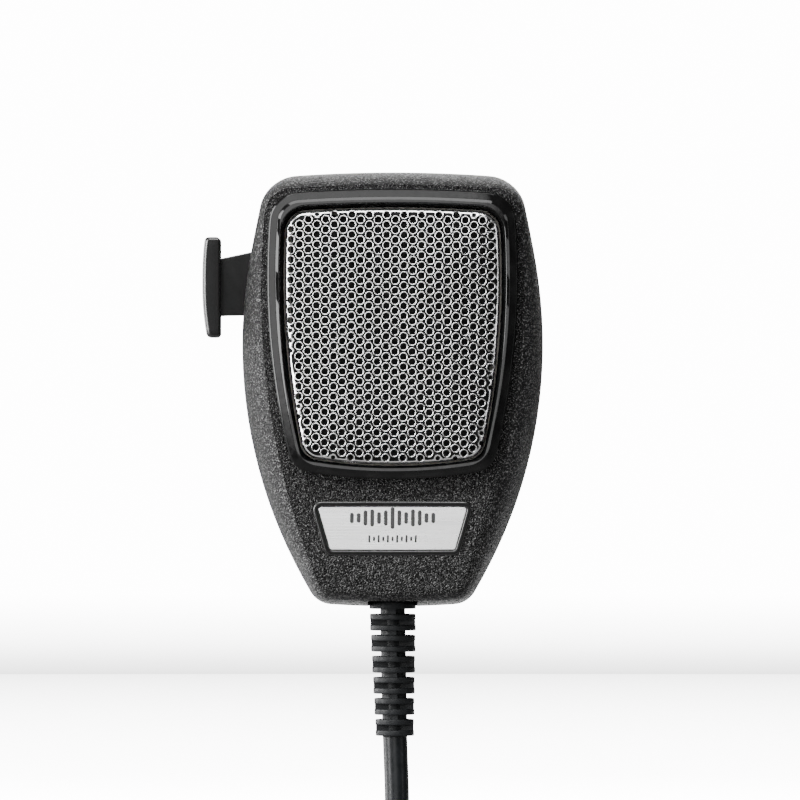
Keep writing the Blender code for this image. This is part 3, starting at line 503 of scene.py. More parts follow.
def grille_metal():
    """Bright plated sheet; painted shade darkens the valleys between the raised holes, the dimple
    pits and the rolled hole edges.
    """
    look = Look("grille_metal", grey(0.86), 0.24, 1.0)
    # Painted shade: the sheet's colour goes dark with its depth below the crests, read from a
    # vertex attribute, with grime noise on top.
    shade = look.node("ShaderNodeAttribute", {"attribute_name": "valley_shade"}).outputs["Fac"]
    grime = look.noise(1400.0, 3.0)
    depth = look.math("ADD", shade, look.math("MULTIPLY", look.math("SUBTRACT", grime, 0.5), 0.2))
    look.tinted(depth, 0.06, 0.34, grey(0.98), grey(0.014))
    look.varied(depth, 0.2, 0.8, 0.20, 0.55)
    look.bump(look.noise(2600.0, 2.0), 0.00003, 0.5)
    return look.material


def plate_aluminium():
    """Aluminium brushed sideways."""
    look = Look("plate_aluminium", grey(0.80), 0.38, 1.0, Anisotropic=0.45)
    lines = look.noise(900.0, 4.0, 0.75, look.stretched((0.03, 1.0, 4.0)))
    broad = look.noise(500.0, 2.0, 0.5, look.stretched((0.05, 1.0, 1.6)))
    look.tinted(look.math("ADD", look.math("MULTIPLY", lines, 0.6),
                          look.math("MULTIPLY", broad, 0.4)), 0.3, 0.7, grey(0.80), grey(0.97))
    look.varied(lines, 0.3, 0.7, 0.24, 0.36)
    look.bump(lines, 0.00002, 0.6)
    return look.material


def plate_ink():
    """Dark printed ink, slightly porous."""
    look = Look("plate_ink", grey(0.030), 0.55)
    look.tinted(look.noise(5000.0, 3.0), 0.3, 0.75, grey(0.022), grey(0.050))
    look.bump(look.noise(9000.0, 2.0), 0.000006, 0.4)
    return look.material


def boot_rubber():
    """Moulded black rubber with fine specks."""
    look = Look("boot_rubber", (0.022, 0.023, 0.026), 0.52, Specular_IOR_Level=0.30)
    speck = look.noise(3600.0, 4.0, 0.65)
    look.tinted(speck, 0.3, 0.75, (0.005, 0.006, 0.007), (0.011, 0.012, 0.014))
    look.varied(look.noise(700.0, 3.0), 0.3, 0.7, 0.44, 0.60)
    look.bump(speck, 0.00005, 0.5)
    return look.material


def cord_jacket():
    """Smooth extruded vinyl with faint drawing waves."""
    look = Look("cord_jacket", (0.019, 0.020, 0.024), 0.36, Specular_IOR_Level=0.34)
    waves = look.noise(420.0, 3.0, 0.6)
    look.tinted(waves, 0.3, 0.75, (0.004, 0.005, 0.006), (0.008, 0.009, 0.011))
    look.varied(look.noise(1600.0, 3.0), 0.3, 0.7, 0.30, 0.44)
    look.bump(waves, 0.00006, 0.35)
    return look.material


def plated_metal(name, colour, roughness, brushed=(1.0, 1.0, 1.0), depth=0.00002):
    """Plated or turned metal with fine tool marks and a slightly uneven tone."""
    look = Look(name, colour, roughness, 1.0)
    marks = look.noise(1500.0, 4.0, 0.7, look.stretched(brushed))
    dark = tuple(c * 0.72 for c in colour)
    look.tinted(look.noise(240.0, 3.0), 0.25, 0.75, dark, colour)
    look.varied(marks, 0.3, 0.7, roughness * 0.75, roughness * 1.35)
    look.bump(marks, depth, 0.4)
    return look.material


def turned_steel():
    """Steel faced on a lathe: rings round the button's axis."""
    look = Look("button_steel", (0.60, 0.60, 0.61), 0.28, 1.0)
    parts = look.node("ShaderNodeSeparateXYZ", Vector=look.place).outputs
    radius = look.math("SQRT", look.math("ADD", look.math("MULTIPLY", parts[0], parts[0]),
                                         look.math("MULTIPLY", parts[2], parts[2])))
    rings = look.node("ShaderNodeTexNoise", {"noise_dimensions": "1D"}, W=radius, Scale=9000.0,
                      Detail=2.0).outputs["Fac"]
    look.tinted(look.noise(300.0, 3.0), 0.25, 0.75, (0.42, 0.42, 0.43), (0.64, 0.64, 0.65))
    look.varied(rings, 0.3, 0.7, 0.20, 0.38)
    look.bump(rings, 0.00003, 0.5)
    return look.material


def moulded(name, colour, roughness, grain=3200.0, depth=0.00003, vary=0.75):
    """Plain moulded or painted surface with uneven tone, gloss and a fine texture."""
    look = Look(name, colour, roughness)
    patch = look.noise(420.0, 4.0, 0.6)
    look.tinted(patch, 0.25, 0.75, tuple(c * vary for c in colour), colour)
    look.varied(patch, 0.3, 0.7, roughness * 0.85, min(roughness * 1.25, 1.0))
    look.bump(look.noise(grain, 2.0), depth, 0.5)
    return look.material


def woven(name, colour, pitch, depth):
    """Plain weave: two sets of crossing threads, with painted highlight on their crowns and painted
    shade between them.
    """
    look = Look(name, colour, 0.92, Sheen_Weight=0.35, Sheen_Roughness=0.5)
    waves = []
    for direction in ("X", "Z"):
        wave = look.node("ShaderNodeTexWave",
                         {"wave_type": "BANDS", "bands_direction": direction},
                         Vector=look.warped(1200.0, pitch * 0.25), Scale=0.314 / pitch,
                         Distortion=0.4)
        waves.append(wave.outputs["Fac"])
    threads = look.math("MAXIMUM", waves[0], waves[1])
    # Painted highlight and shade: the colour runs from dark between the threads to bright on their
    # crowns.
    look.tinted(threads, 0.3, 0.95, tuple(c * 0.4 for c in colour), tuple(c * 1.8 for c in colour))
    look.bump(threads, depth, 0.9)
    return look.material


def circuit_green():
    """Solder mask over faint copper tracks."""
    look = Look("board_green", (0.03, 0.16, 0.07), 0.30, Coat_Weight=0.3)
    tracks = look.node("ShaderNodeTexWave", {"wave_type": "BANDS", "bands_direction": "X"},
                       Vector=look.warped(90.0, 0.004), Scale=60.0, Distortion=3.0).outputs["Fac"]
    look.tinted(tracks, 0.55, 0.75, (0.020, 0.115, 0.050), (0.050, 0.22, 0.085))
    look.bump(tracks, 0.00005, 0.5)
    return look.material


MAT = {
    "housing_plastic": housing_plastic(),
    "lever_plastic": lever_plastic(),
    "frame_gloss": frame_gloss(),
    "grille_metal": grille_metal(),
    "plate_aluminium": plate_aluminium(),
    "plate_ink": plate_ink(),
    "boot_rubber": boot_rubber(),
    "cord_jacket": cord_jacket(),
    "button_steel": turned_steel(),
    "board_green": circuit_green(),
}
for name, maker, *settings in (
        ("zinc_steel", plated_metal, (0.60, 0.60, 0.61), 0.30),
        ("plug_chrome", plated_metal, (0.78, 0.78, 0.79), 0.16, (1.0, 1.0, 0.2)),
        ("capsule_metal", plated_metal, (0.62, 0.60, 0.55), 0.36),
        ("magnet", plated_metal, (0.20, 0.20, 0.21), 0.45, (1.0, 1.0, 1.0), 0.00005),
        ("copper", plated_metal, (0.72, 0.36, 0.18), 0.30, (1.0, 8.0, 1.0), 0.00004),
        ("brass", plated_metal, (0.75, 0.58, 0.25), 0.28),
        ("cloth", woven, grey(0.016), 0.00028, 0.00008),
        ("strap_fabric", woven, grey(0.016), 0.00055, 0.00015),
        ("inner_plastic", moulded, (0.50, 0.48, 0.43), 0.45),
        ("film", moulded, (0.75, 0.72, 0.62), 0.25, 900.0, 0.00002, 0.9),
        ("insert_plastic", moulded, (0.050, 0.040, 0.035), 0.38),
        ("capacitor_sleeve", moulded, (0.03, 0.05, 0.16), 0.30),
        ("resistor_body", moulded, (0.58, 0.45, 0.28), 0.40),
        ("wire_red", moulded, (0.50, 0.03, 0.02), 0.38),
        ("wire_white", moulded, (0.75, 0.74, 0.70), 0.38),
        ("wire_black", moulded, grey(0.018), 0.38),
        ("wire_blue", moulded, (0.03, 0.08, 0.40), 0.38),
        ("capsule_rubber", moulded, grey(0.022), 0.60, 2600.0, 0.00005)):
    MAT[name] = maker(name, *settings)

# ---------------------------------------------------------------- housing shells

FRONT_SECTIONS = [(0.00, -0.02215), (0.05, -0.0275), (0.18, -0.0315), (0.42, -0.0346),
                  (0.74, -0.0369), (1.00, FACE_Y)]
BACK_SECTIONS = [(0.00, -0.02185), (0.06, -0.0160), (0.27, -0.0120), (0.60, -0.0096),
                 (1.00, BACK_Y)]
WINDOW = inset(GRILLE, -0.0017)
FRONT_INNER_Y = FACE_Y + WALL
BACK_INNER_Y = BACK_Y - WALL
SLOT_LOW = (-0.0345, -0.0257, -0.0046)
SLOT_HIGH = (-0.0268, -0.0183, 0.0122)
# How the outside falls away from each flat face, as (distance in from its edge, drop).
EDGE_DROP = [(0.0, 0.00032), (0.00045, 0.00006), (0.00085, 0.00001), (0.00135, 0.0)]
BACK_RINGS = (0.0120, 0.0080, 0.0045)
TOOL_END_Z = -0.0710
BOSS_RADIUS, BOSS_HOLE = 0.0026, 0.0015
PIN_HOLE = 0.0017
FRONT_BASE_Y = -0.0339
RIB_TOP_Z = 0.0263


def smooth_line(points, per_span):
    """Catmull-Rom points through a route's own points."""
    route = [Vector(p) for p in points]
    route = [2 * route[0] - route[1]] + route + [2 * route[-1] - route[-2]]
    line = []
    for before, start, stop, after in zip(route, route[1:], route[2:], route[3:]):
        for step in range(per_span):
            t = step / per_span
            bend = (2 * before - 5 * start + 4 * stop - after) * t * t
            twist = (3 * start - before - 3 * stop + after) * t**3
            line.append((2 * start + (stop - before) * t + bend + twist) / 2)
    line.append(route[-2])
    return line


def shell_side(sections, face):
    """Finely stepped outer sections from the parting line to the flat face and its soft edge."""
    flat_y = sections[-1][1]
    fall = 1.0 if sections[0][1] > flat_y else -1.0
    line = [(share, y) for share, y in smooth_line(sections, 5)
            if fall * (y - flat_y) > EDGE_DROP[0][1]]
    outer = [(blend(HOUSING, face, share), y) for share, y in line]
    return outer + [(inset(face, reach), flat_y + fall * drop) for reach, drop in EDGE_DROP]


def flat_rings(first, last, y, count=3):
    """Outlines between two others in one plane, without the two."""
    return [(blend(first, last, (n + 1) / (count + 1)), y) for n in range(count)]


def collar_pocket(name):
    """The pocket in the bottom wall around the strain relief's collar, open towards the front."""
    reach = COLLAR_RADIUS + GAP
    outline = arc((0.0, PARTING_Y), reach, 0.0, pi, 24)
    outline += [(-reach, PARTING_Y), (-reach, FACE_Y - 0.0010), (reach, FACE_Y - 0.0010)]
    return column(name, outline, TOOL_END_Z, COLLAR_TOP_Z + GAP)


def round_tool(name, radius, centre, low, high, axis="Y", steps=40):
    """A plain cylinder."""
    return lathe(name, [(0.0, low), (radius, low), (radius, high), (0.0, high)], centre, axis,
                 steps)


def boss(name, x, z, base_y, top_y, hole_depth, radius=BOSS_RADIUS, hole=BOSS_HOLE):
    """A screw boss standing on a wall, with a blind hole in its top."""
    towards = 1.0 if top_y > base_y else -1.0
    height = abs(top_y - base_y)
    profile = [(0.0, height - hole_depth), (hole, height - hole_depth), (hole, height),
               (radius, height), (radius, 0.0), (0.0, 0.0)]
    profile = [(r, towards * h) for r, h in profile]
    return lathe(name, profile, (x, base_y, z), "Y", 28)


def wall_openings():
    """Tools for the lever's slot, the cord's neck and the pocket round the boot's collar."""
    neck = round_tool("neck", 0.0041, (0.0, PARTING_Y, 0.0), TOOL_END_Z, -0.0610, "Z", 42)
    return [block("slot", SLOT_LOW, SLOT_HIGH), neck, collar_pocket("pocket")]


def front_bosses():
    """Bosses for the case screws, ribs that tie the top two to the wall, and the pin's boss."""
    added = []
    for number, (x, z) in enumerate(CASE_SCREWS, 1):
        on_top_wall = z > 0
        base_y = FRONT_BASE_Y if on_top_wall else FRONT_INNER_Y - 0.0008
        added.append(boss(f"front_boss_{number}", x, z, base_y, PARTING_Y - 0.0006, 0.0080))
        if on_top_wall:
            added.append(block(f"front_rib_{number}", (x - 0.0009, base_y + 0.0004, z + 0.0021),
                               (x + 0.0009, PARTING_Y - 0.0010, RIB_TOP_Z)))
    added.append(boss("front_pivot_boss", PIVOT_X, PIVOT_Z, FRONT_BASE_Y, -0.0262, 0.0050,
                      0.0028, PIN_HOLE))
    return added


def front_shell():
    """Grained front half with the grille's window, the lever's slot and the plate's recess."""
    outer = shell_side(FRONT_SECTIONS, FRONT_FACE)
    outer += flat_rings(outer[-1][0], WINDOW, FACE_Y)
    inner_face = inset(FRONT_FACE, 0.0012)
    window = [(WINDOW, FACE_Y), (WINDOW, FRONT_INNER_Y)]
    window += flat_rings(WINDOW, inner_face, FRONT_INNER_Y)
    inner = [
        (inner_face, FRONT_INNER_Y),
        (inset(blend(HOUSING, FRONT_FACE, 0.42), WALL), -0.0336),
        (inset(blend(HOUSING, FRONT_FACE, 0.12), WALL), -0.0300),
        (inset(HOUSING, WALL), FRONT_SECTIONS[0][1]),
    ]
    shell = loft("housing_front", outer + window + inner, ring=True)
    combine(shell, front_bosses(), "UNION")
    recess = column("plate_recess", outline_points(inset(PLATE, -0.0010), 8, 4, 8),
                    FACE_Y - 0.0010, FACE_Y + 0.0006, "Y")
    combine(shell, [*wall_openings(), recess], "DIFFERENCE")
    finish_piece(shell, "housing_plastic", "front_shell")


def rear_bosses():
    """Bosses for the cord clamp, the circuit board and the lever's pin."""
    base_y = BACK_INNER_Y + 0.0005
    added = []
    for number, (x, z) in enumerate(CLAMP_SCREWS, 1):
        added.append(boss(f"clamp_boss_{number}", x, z, base_y, -0.0246, 0.0080))
    for number, (x, z) in enumerate(BOARD_SCREWS, 1):
        added.append(boss(f"board_boss_{number}", x, z, base_y, -0.0121, 0.0022, 0.0027))
    added.append(boss("rear_pivot_boss", PIVOT_X, PIVOT_Z, base_y, -0.0166, 0.0040,
                      0.0030, PIN_HOLE))
    return added


def back_holes():
    """Counterbored holes for the case screws, and the hole for the button's screw."""
    end_y, seat_y, out_y = -0.0125, -0.0091, -0.0061
    shank, head = 0.0015, 0.0027
    profile = [(0.0, end_y), (shank, end_y), (shank, seat_y), (head, seat_y), (head, out_y),
               (0.0, out_y)]
    tools = [lathe(f"case_hole_{number}", profile, (x, 0.0, z), "Y", 40)
             for number, (x, z) in enumerate(CASE_SCREWS, 1)]
    return tools + [round_tool("button_hole", 0.0016, (0.0, 0.0, 0.0), end_y, -0.0065)]


def rear_shell():
    """Grained rear half with a flat back."""
    inner = [(inset(BACK_FACE, reach), BACK_INNER_Y) for reach in BACK_RINGS]
    inner += [
        (inset(BACK_FACE, 0.0016), BACK_INNER_Y),
        (inset(blend(HOUSING, BACK_FACE, 0.30), WALL), -0.0124),
        (inset(blend(HOUSING, BACK_FACE, 0.06), WALL), -0.0160),
        (inset(HOUSING, WALL), BACK_SECTIONS[0][1]),
    ]
    outer = shell_side(BACK_SECTIONS, BACK_FACE)
    outer += [(inset(BACK_FACE, reach), BACK_Y) for reach in reversed(BACK_RINGS)]
    shell = loft("housing_rear", inner + outer)
    combine(shell, rear_bosses(), "UNION")
    combine(shell, [*wall_openings(), *back_holes()], "DIFFERENCE")
    finish_piece(shell, "housing_plastic", "rear_shell")


def seam_seal():
    """Thin rubber seal in the joint between the shells, set back from the outside."""
    outside, inside = inset(HOUSING, 0.0005), inset(HOUSING, WALL - 0.0002)
    front_y, back_y = FRONT_SECTIONS[0][1], BACK_SECTIONS[0][1]
    ring = loft("seam_seal", [(inside, back_y), (outside, back_y), (outside, front_y),
                              (inside, front_y)], ring=True)
    combine(ring, wall_openings(), "DIFFERENCE")
    finish_piece(ring, "boot_rubber")


# ---------------------------------------------------------------- frame, grille, nameplate


def bezel():
    """Gloss frame: a chamfered edge, a gently sloped land with a lip, and a steep inner wall."""
    side = rounded([(0.00000, -0.03830), (0.00006, -0.04050), (0.00045, -0.04078),
                    (0.00178, -0.04088), (0.00240, -0.04127)], 0.00008, 3)
    wall = rounded([(-0.00140, -0.04128), (-0.00122, -0.04118), (-0.00042, -0.03960),
                    (-0.00030, -0.03880)], 0.00010, 3)
    wall += [(-0.0003, -0.0362), (-0.0014, -0.0362), (-0.0014, -0.0383)]
    sections = [(inset(BEZEL, reach), y) for reach, y in side]
    sections += [(inset(GRILLE, reach), y) for reach, y in wall]
    ring = loft("grille_frame", sections, ring=True, sharp=20)
    finish_piece(ring, "frame_gloss", "grille_bezel")


HOLE_PITCH = 0.002178
COLUMN_PITCH = 0.001875
LATTICE_X, LATTICE_Z = 0.00055, -0.00039
LATTICE_TILT = -0.0065
HOLE_RADIUS = 0.00066
CREST_RADIUS = 0.00089
FOOT_RADIUS = 0.00103
DIMPLE_RADIUS = 0.00062
RELIEF = 0.00030            # how far the valleys lie below the crests
ROLL = 0.00020              # how far the sheet rolls into each hole
DIMPLE_PIT = 0.00022
SHEET = 0.0006
RIM_INSET = 0.00012
SKIRT_Y = -0.0366
OPEN_FROM = 0.00098         # a hole is punched where its centre is this far from the edge
DIMPLE_FROM = 0.00045       # nearer than that, only a dimple is pressed
BAND = 0.00085              # the solid rim's width, over which the relief fades out
HOLE_LOOPS = [(HOLE_RADIUS, 18), (0.00078, 18), (CREST_RADIUS, 18), (0.00095, 18),
              (FOOT_RADIUS, 18)]
DIMPLE_LOOPS = [(0.00022, 8), (0.00042, 12), (DIMPLE_RADIUS, 14)]
GRILLE_DOME = [(0.0000, -0.0402), (0.0004, -0.0409), (0.0012, -0.0414), (0.0040, -0.0419),
               (0.0090, -0.0423), (0.0160, -0.0425)]


def lattice_points():
    """Hole centres over the whole grille, as columns of alternately shifted rows."""
    points = []
    for column_number in range(-13, 14):
        for row in range(-19, 12):
            along = column_number * COLUMN_PITCH
            up = (row + (0.5 if column_number % 2 else 0.0)) * HOLE_PITCH
            points.append((LATTICE_X + along - up * LATTICE_TILT,
                           LATTICE_Z + up + along * LATTICE_TILT))
    return points


class EdgeDistance:
    """How far inside an outline a point lies; negative outside."""

    def __init__(self, outline):
        self.points = outline_points(outline, 240, 90, 40)
        self.tree = KDTree(len(self.points))
        for number, (x, z) in enumerate(self.points):
            self.tree.insert((x, 0.0, z), number)
        self.tree.balance()

    def at(self, x, z):
        where, number, distance = self.tree.find((x, 0.0, z))
        ahead = self.points[(number + 1) % len(self.points)]
        behind = self.points[number - 1]
        tangent = (ahead[0] - behind[0], ahead[1] - behind[1])
        inwards = (-tangent[1], tangent[0])
        side = (x - where[0]) * inwards[0] + (z - where[2]) * inwards[1]
        return distance if side >= 0 else -distance


def ease(value, low, high):
    """From 0 to 1, smoothly, as the value goes from low to high."""
    share = min(max((value - low) / (high - low), 0.0), 1.0)
    return share * share * (3.0 - 2.0 * share)


def dome_height(depth):
    """Height of the sheet's outer surface at a distance in from its edge."""
    for (start, low), (stop, high) in zip(GRILLE_DOME, GRILLE_DOME[1:]):
        if depth <= stop:
            share = max(depth - start, 0.0) / (stop - start)
            return low + (high - low) * share
    return GRILLE_DOME[-1][1]


def relief_at(depth, at_hole, radius):
    """How far below the dome a point lies, from the nearest lattice point."""
    into_field = ease(depth, BAND * 0.7, BAND * 1.5)
    if not at_hole:
        pit = DIMPLE_PIT * (1.0 - ease(radius, 0.0002, DIMPLE_RADIUS))
        return max(pit, RELIEF * ease(radius, CREST_RADIUS, FOOT_RADIUS * 1.1) * into_field)
    if radius < CREST_RADIUS:
        return ROLL * (1.0 - ease(radius, HOLE_RADIUS * 0.9, CREST_RADIUS * 0.96))
    return RELIEF * ease(radius, CREST_RADIUS * 1.03, FOOT_RADIUS * 1.03) * into_field


def hole_centres(edge):
    """Lattice points that become holes, and those near the edge that become dimples."""
    holes, dimples = [], []
    for x, z in lattice_points():
        depth = edge.at(x, z)
        if depth > OPEN_FROM:
            holes.append((x, z))
        elif depth > DIMPLE_FROM:
            dimples.append((x, z))
    return holes, dimples


def sheet_loops(holes, dimples):
    """Every closed line that the sheet's faces keep to, with the rim's lines last."""
    loops = []
    for centres, rings in ((holes, HOLE_LOOPS), (dimples, DIMPLE_LOOPS)):
        for centre in centres:
            loops += [arc(centre, radius, 0.0, 2.0 * pi, steps) for radius, steps in rings]
    loops.append(outline_points(inset(GRILLE, RIM_INSET), 80, 30, 10))
    for depth in (0.0003, 0.0006, 0.0010):
        loops.append(outline_points(inset(GRILLE, depth), 70, 26, 8))
    return loops


def flat_sheet(loops):
    """Vertices and faces that fill the loops in the plane."""
    points, edges = [], []
    for loop in loops:
        start = len(points)
        points.extend(Vector(p) for p in loop)
        edges.extend((start + i, start + (i + 1) % len(loop)) for i in range(len(loop)))
    verts, _, faces, *_ = delaunay_2d_cdt(points, edges, [], 0, 1e-7)
    return verts, faces


def grille():
    """The domed sheet with raised holes punched in a staggered pattern and a solid rim."""
    edge = EdgeDistance(GRILLE)
    holes, dimples = hole_centres(edge)
    verts, faces = flat_sheet(sheet_loops(holes, dimples))
    centres = KDTree(len(holes) + len(dimples))
    for number, (x, z) in enumerate(holes + dimples):
        centres.insert((x, 0.0, z), number)
    centres.balance()

    bm = bmesh.new()
    valley_shade = bm.verts.layers.float.new("valley_shade")
    made = []
    for x, z in verts:
        depth = max(edge.at(x, z), 0.0)
        _, number, radius = centres.find((x, 0.0, z))
        at_hole = number < len(holes)
        drop = relief_at(depth, at_hole, radius)
        made.append(bm.verts.new((x, dome_height(depth) + drop, z)))
        # Painted shade by depth: full in the valleys and dimple pits, lighter on the rolled hole
        # edges.
        rolled = at_hole and radius <= CREST_RADIUS
        made[-1][valley_shade] = 0.40 * drop / ROLL if rolled else drop / RELIEF
    for face in faces:
        middle = sum((verts[i] for i in face), Vector((0.0, 0.0))) / len(face)
        _, number, radius = centres.find((middle.x, 0.0, middle.y))
        in_hole = number < len(holes) and radius < HOLE_RADIUS * 0.985
        if not in_hole and edge.at(middle.x, middle.y) >= RIM_INSET * 0.9:
            bm.faces.new([made[i] for i in face])
    bmesh.ops.recalc_face_normals(bm, faces=bm.faces)
    bmesh.ops.delete(bm, geom=[v for v in bm.verts if not v.link_faces], context="VERTS")
    close_sheet(bm, edge, valley_shade)
    finish_piece(mesh_object("grille_sheet", bm, 60), "grille_metal", "grille_screen")


def close_sheet(bm, edge, valley_shade):
    """Gives the sheet its thickness: a smooth back, the hole walls and a skirt at the rim."""
    front_faces = list(bm.faces)
    borders = [e for e in bm.edges if e.is_boundary]
    back_of = {}
    for vertex in list(bm.verts):
        x, _, z = vertex.co
        depth = max(edge.at(x, z), 0.0)
        y = SKIRT_Y if depth < RIM_INSET * 1.6 else dome_height(depth) + SHEET
        back = bm.verts.new((x, y, z))
        # The back, seen only through the holes, is painted in full shade, and the hole walls darken
        # towards it.
        back[valley_shade] = 1.0
        back_of[vertex] = back
    for face in front_faces:
        bm.faces.new([back_of[v] for v in reversed(face.verts)])
    for border in borders:
        a, b = border.verts
        bm.faces.new((a, b, back_of[b], back_of[a]))


def plate_loops(sections):
    """Loops round the plate at (distance in from its outline, height behind the face)."""
    return [[(x, FACE_Y + y, z) for x, z in outline_points(inset(PLATE, reach), 8, 6, 8)]
            for reach, y in sections]


def nameplate():
    """The plate, its moulded border and a generic print of a sound wave."""
    front_y = FACE_Y - 0.00015
    plate = stack("name_plate", plate_loops([(0.0, 0.0003), (0.0, -0.00005),
                                             (0.00012, -0.00015)]))
    finish_piece(plate, "plate_aluminium", "nameplate")
    border = [(-0.00004, 0.00050), (-0.00010, -0.00002), (-0.00034, -0.00022),
              (-0.00089, -0.00024), (-0.00119, -0.00006), (-0.00124, 0.00004),
              (-0.00099, 0.00010), (-0.00099, 0.00050)]
    ring = stack("plate_border", plate_loops(border), ring=True, sharp=60)
    finish_piece(ring, "lever_plastic", slot="housing_plastic")
    plate_print(front_y)


def capsule_outline(x, z, width, height):
    """An upright bar with round ends, as (x, z) points."""
    radius = width / 2.0
    reach = height / 2.0 - radius
    top, bottom = (x, z + reach), (x, z - reach)
    return arc(top, radius, 0.0, pi, 8) + arc(bottom, radius, pi, 2 * pi, 8)


def plate_print(front_y):
    """Raised ink: a row of bars like a sound wave, and a row of ticks under it."""
    bm = bmesh.new()
    outlines = []
    bar_pitch, bar_width, bars_z = 0.00146, 0.00086, -0.0471
    tick_pitch, tick_width, ticks_z = 0.0010, 0.00045, -0.0516
    for offset in range(-6, 7):
        swell = 0.30 + 0.70 * cos(offset * 0.9) ** 2
        height = 0.0016 + 0.0031 * swell * exp(-((offset / 6.0) ** 2))
        outlines.append(capsule_outline(offset * bar_pitch, bars_z, bar_width, height))
    for offset in range(-5, 6):
        height = 0.0017 if offset % 2 else 0.0010
        outlines.append(capsule_outline(offset * tick_pitch, ticks_z, tick_width, height))
    for outline in outlines:
        loops = []
        for y in (front_y - 0.00003, front_y + 0.00005):
            loops.append([bm.verts.new((x, y, z)) for x, z in outline])
            bm.faces.new(loops[-1])
        bridge(bm, loops[0], loops[1])
    finish_piece(mesh_object("plate_print", bm), "plate_ink", slot="plate_aluminium")


# ---------------------------------------------------------------- push-to-talk lever

PADDLE_TOP, PADDLE_BOTTOM = 0.0136, -0.0082


def lever_arm_points():
    """The stem through the wall, the arm down to the hinge, and the nose that works the switch."""
    hub = arc((PIVOT_X, PIVOT_Z), 0.0030, radians(20), radians(-190), 30)
    nose = arc((-0.0234, PLUNGER_Z), 0.0012, radians(80), radians(-80), 10)
    start = [(-0.0390, 0.0086), (-0.0306, 0.0104), (-0.0282, 0.0104), (-0.0266, 0.0090),
             (-0.0246, -0.0030), (-0.0243, PLUNGER_Z + 0.0016)]
    middle = [(-0.0240, PLUNGER_Z - 0.0016)]
    finish = [(-0.0289, PIVOT_Z + 0.0030), (-0.0290, -0.0090), (-0.0296, -0.0042),
              (-0.0321, -0.0031), (-0.0390, -0.0037)]
    return start + nose + middle + hub + finish


def paddle_loop(z, shrink):
    """The paddle's cross-section at a height: a bowed outer face with wide round corners."""
    middle, half = (PADDLE_TOP + PADDLE_BOTTOM) / 2.0, (PADDLE_TOP - PADDLE_BOTTOM) / 2.0
    share = min(max((z - middle) / (half - 0.0006), -1.0), 1.0)
    bow = 0.0009 * share**2 if share < 0 else 0.0005 * share**3
    left, right = -0.0412 + bow + shrink, -0.0373 - shrink
    front, back = -0.0290 + shrink, -0.0150 - shrink
    wide = max(0.0012 - shrink * 0.5, 0.0004)
    small = max(0.00045 - shrink * 0.3, 0.0002)
    corners = [((left + wide, back - wide), wide, pi / 2),
               ((left + wide, front + wide), wide, pi),
               ((right - small, front + small), small, 1.5 * pi),
               ((right - small, back - small), small, 0.0)]
    return [(x, y, z) for x, y in round_corners(corners)]


def paddle():
    """The paddle, with its two ends rounded over."""
    radius = 0.0009
    lower = [(PADDLE_BOTTOM + radius * (1.0 - cos(a)), radius * (1.0 - sin(a)))
             for a in (step / 5.0 * pi / 2 for step in range(6))]
    upper = [(PADDLE_TOP + PADDLE_BOTTOM - z, shrink) for z, shrink in reversed(lower)]
    start, stop = lower[-1][0], upper[0][0]
    between = [(start + (stop - start) * s / 20.0, 0.0) for s in range(1, 20)]
    return stack("paddle", [paddle_loop(z, shrink) for z, shrink in lower + between + upper])


def lever():
    """The whole moving handle, with the hole for its pin."""
    arm = column("ptt_handle", lever_arm_points(), -0.0250, -0.0190, "Y", bevel=0.0003)
    combine(arm, [paddle()], "UNION")
    bore = round_tool("bore", PIN_HOLE, (PIVOT_X, 0.0, PIVOT_Z), -0.0270, -0.0170)
    combine(arm, [bore], "DIFFERENCE")
    return finish_piece(arm, "lever_plastic", "ptt_lever", body="ptt")


# ---------------------------------------------------------------- strain relief

SEGMENTS = 6
WEB_HALF, SIDE_WEB_HALF = 0.0007, 0.0016
SEGMENT_PITCH = 0.00457
SEGMENT_HEIGHT = 0.0036
DISC_HEIGHT = 0.00125
FIRST_SEGMENT_Z = -0.0681
COLLAR_END_Z = -0.0670
TIP_RADIUS = 0.0041
CORE_RADIUS = 0.0027
SLOT_RADIUS = 0.0020
BOOT_LEAN = 0.0005


def segment(number):
    """A segment's radius, top, and the top and bottom of the slot between its two discs."""
    radius = COLLAR_RADIUS + (TIP_RADIUS - COLLAR_RADIUS) * (number + 0.5) / SEGMENTS
    top = FIRST_SEGMENT_Z - number * SEGMENT_PITCH
    return radius, top, top - DISC_HEIGHT, top - SEGMENT_HEIGHT + DISC_HEIGHT


def disc_profile(radius, top, bottom):
    """The rounded edge of one disc, from the core out and back."""
    edge = 0.00022
    profile = [(CORE_RADIUS, top)]
    profile += [(radius - edge + edge * sin(a), top - edge + edge * cos(a))
                for a in (0.0, pi / 6, pi / 3, pi / 2)]
    profile += [(radius - edge + edge * cos(a), bottom + edge - edge * sin(a))
                for a in (0.0, pi / 6, pi / 3, pi / 2)]
    return profile + [(CORE_RADIUS, bottom)]


def boot_profile():
    """The turned shape: a flange inside the housing, the neck, the collar and the discs."""
    profile = [(0.0, -0.0619), (0.0054, -0.0619), (0.0056, -0.0621), (0.0056, -0.0638),
               (0.0037, -0.0639), (0.0037, COLLAR_TOP_Z)]
    profile += disc_profile(COLLAR_RADIUS, COLLAR_TOP_Z, COLLAR_END_Z)[1:]
    for number in range(SEGMENTS):
        radius, top, slot_top, slot_end = segment(number)
        profile += disc_profile(radius, top, slot_top)
        profile += [(SLOT_RADIUS, slot_top), (SLOT_RADIUS, slot_end)]
        profile += disc_profile(radius, slot_end, top - SEGMENT_HEIGHT)
    return profile + [(CORE_RADIUS, BOOT_END_Z + 0.0001), (CORE_RADIUS - 0.0001, BOOT_END_Z),
                      (0.0, BOOT_END_Z)]


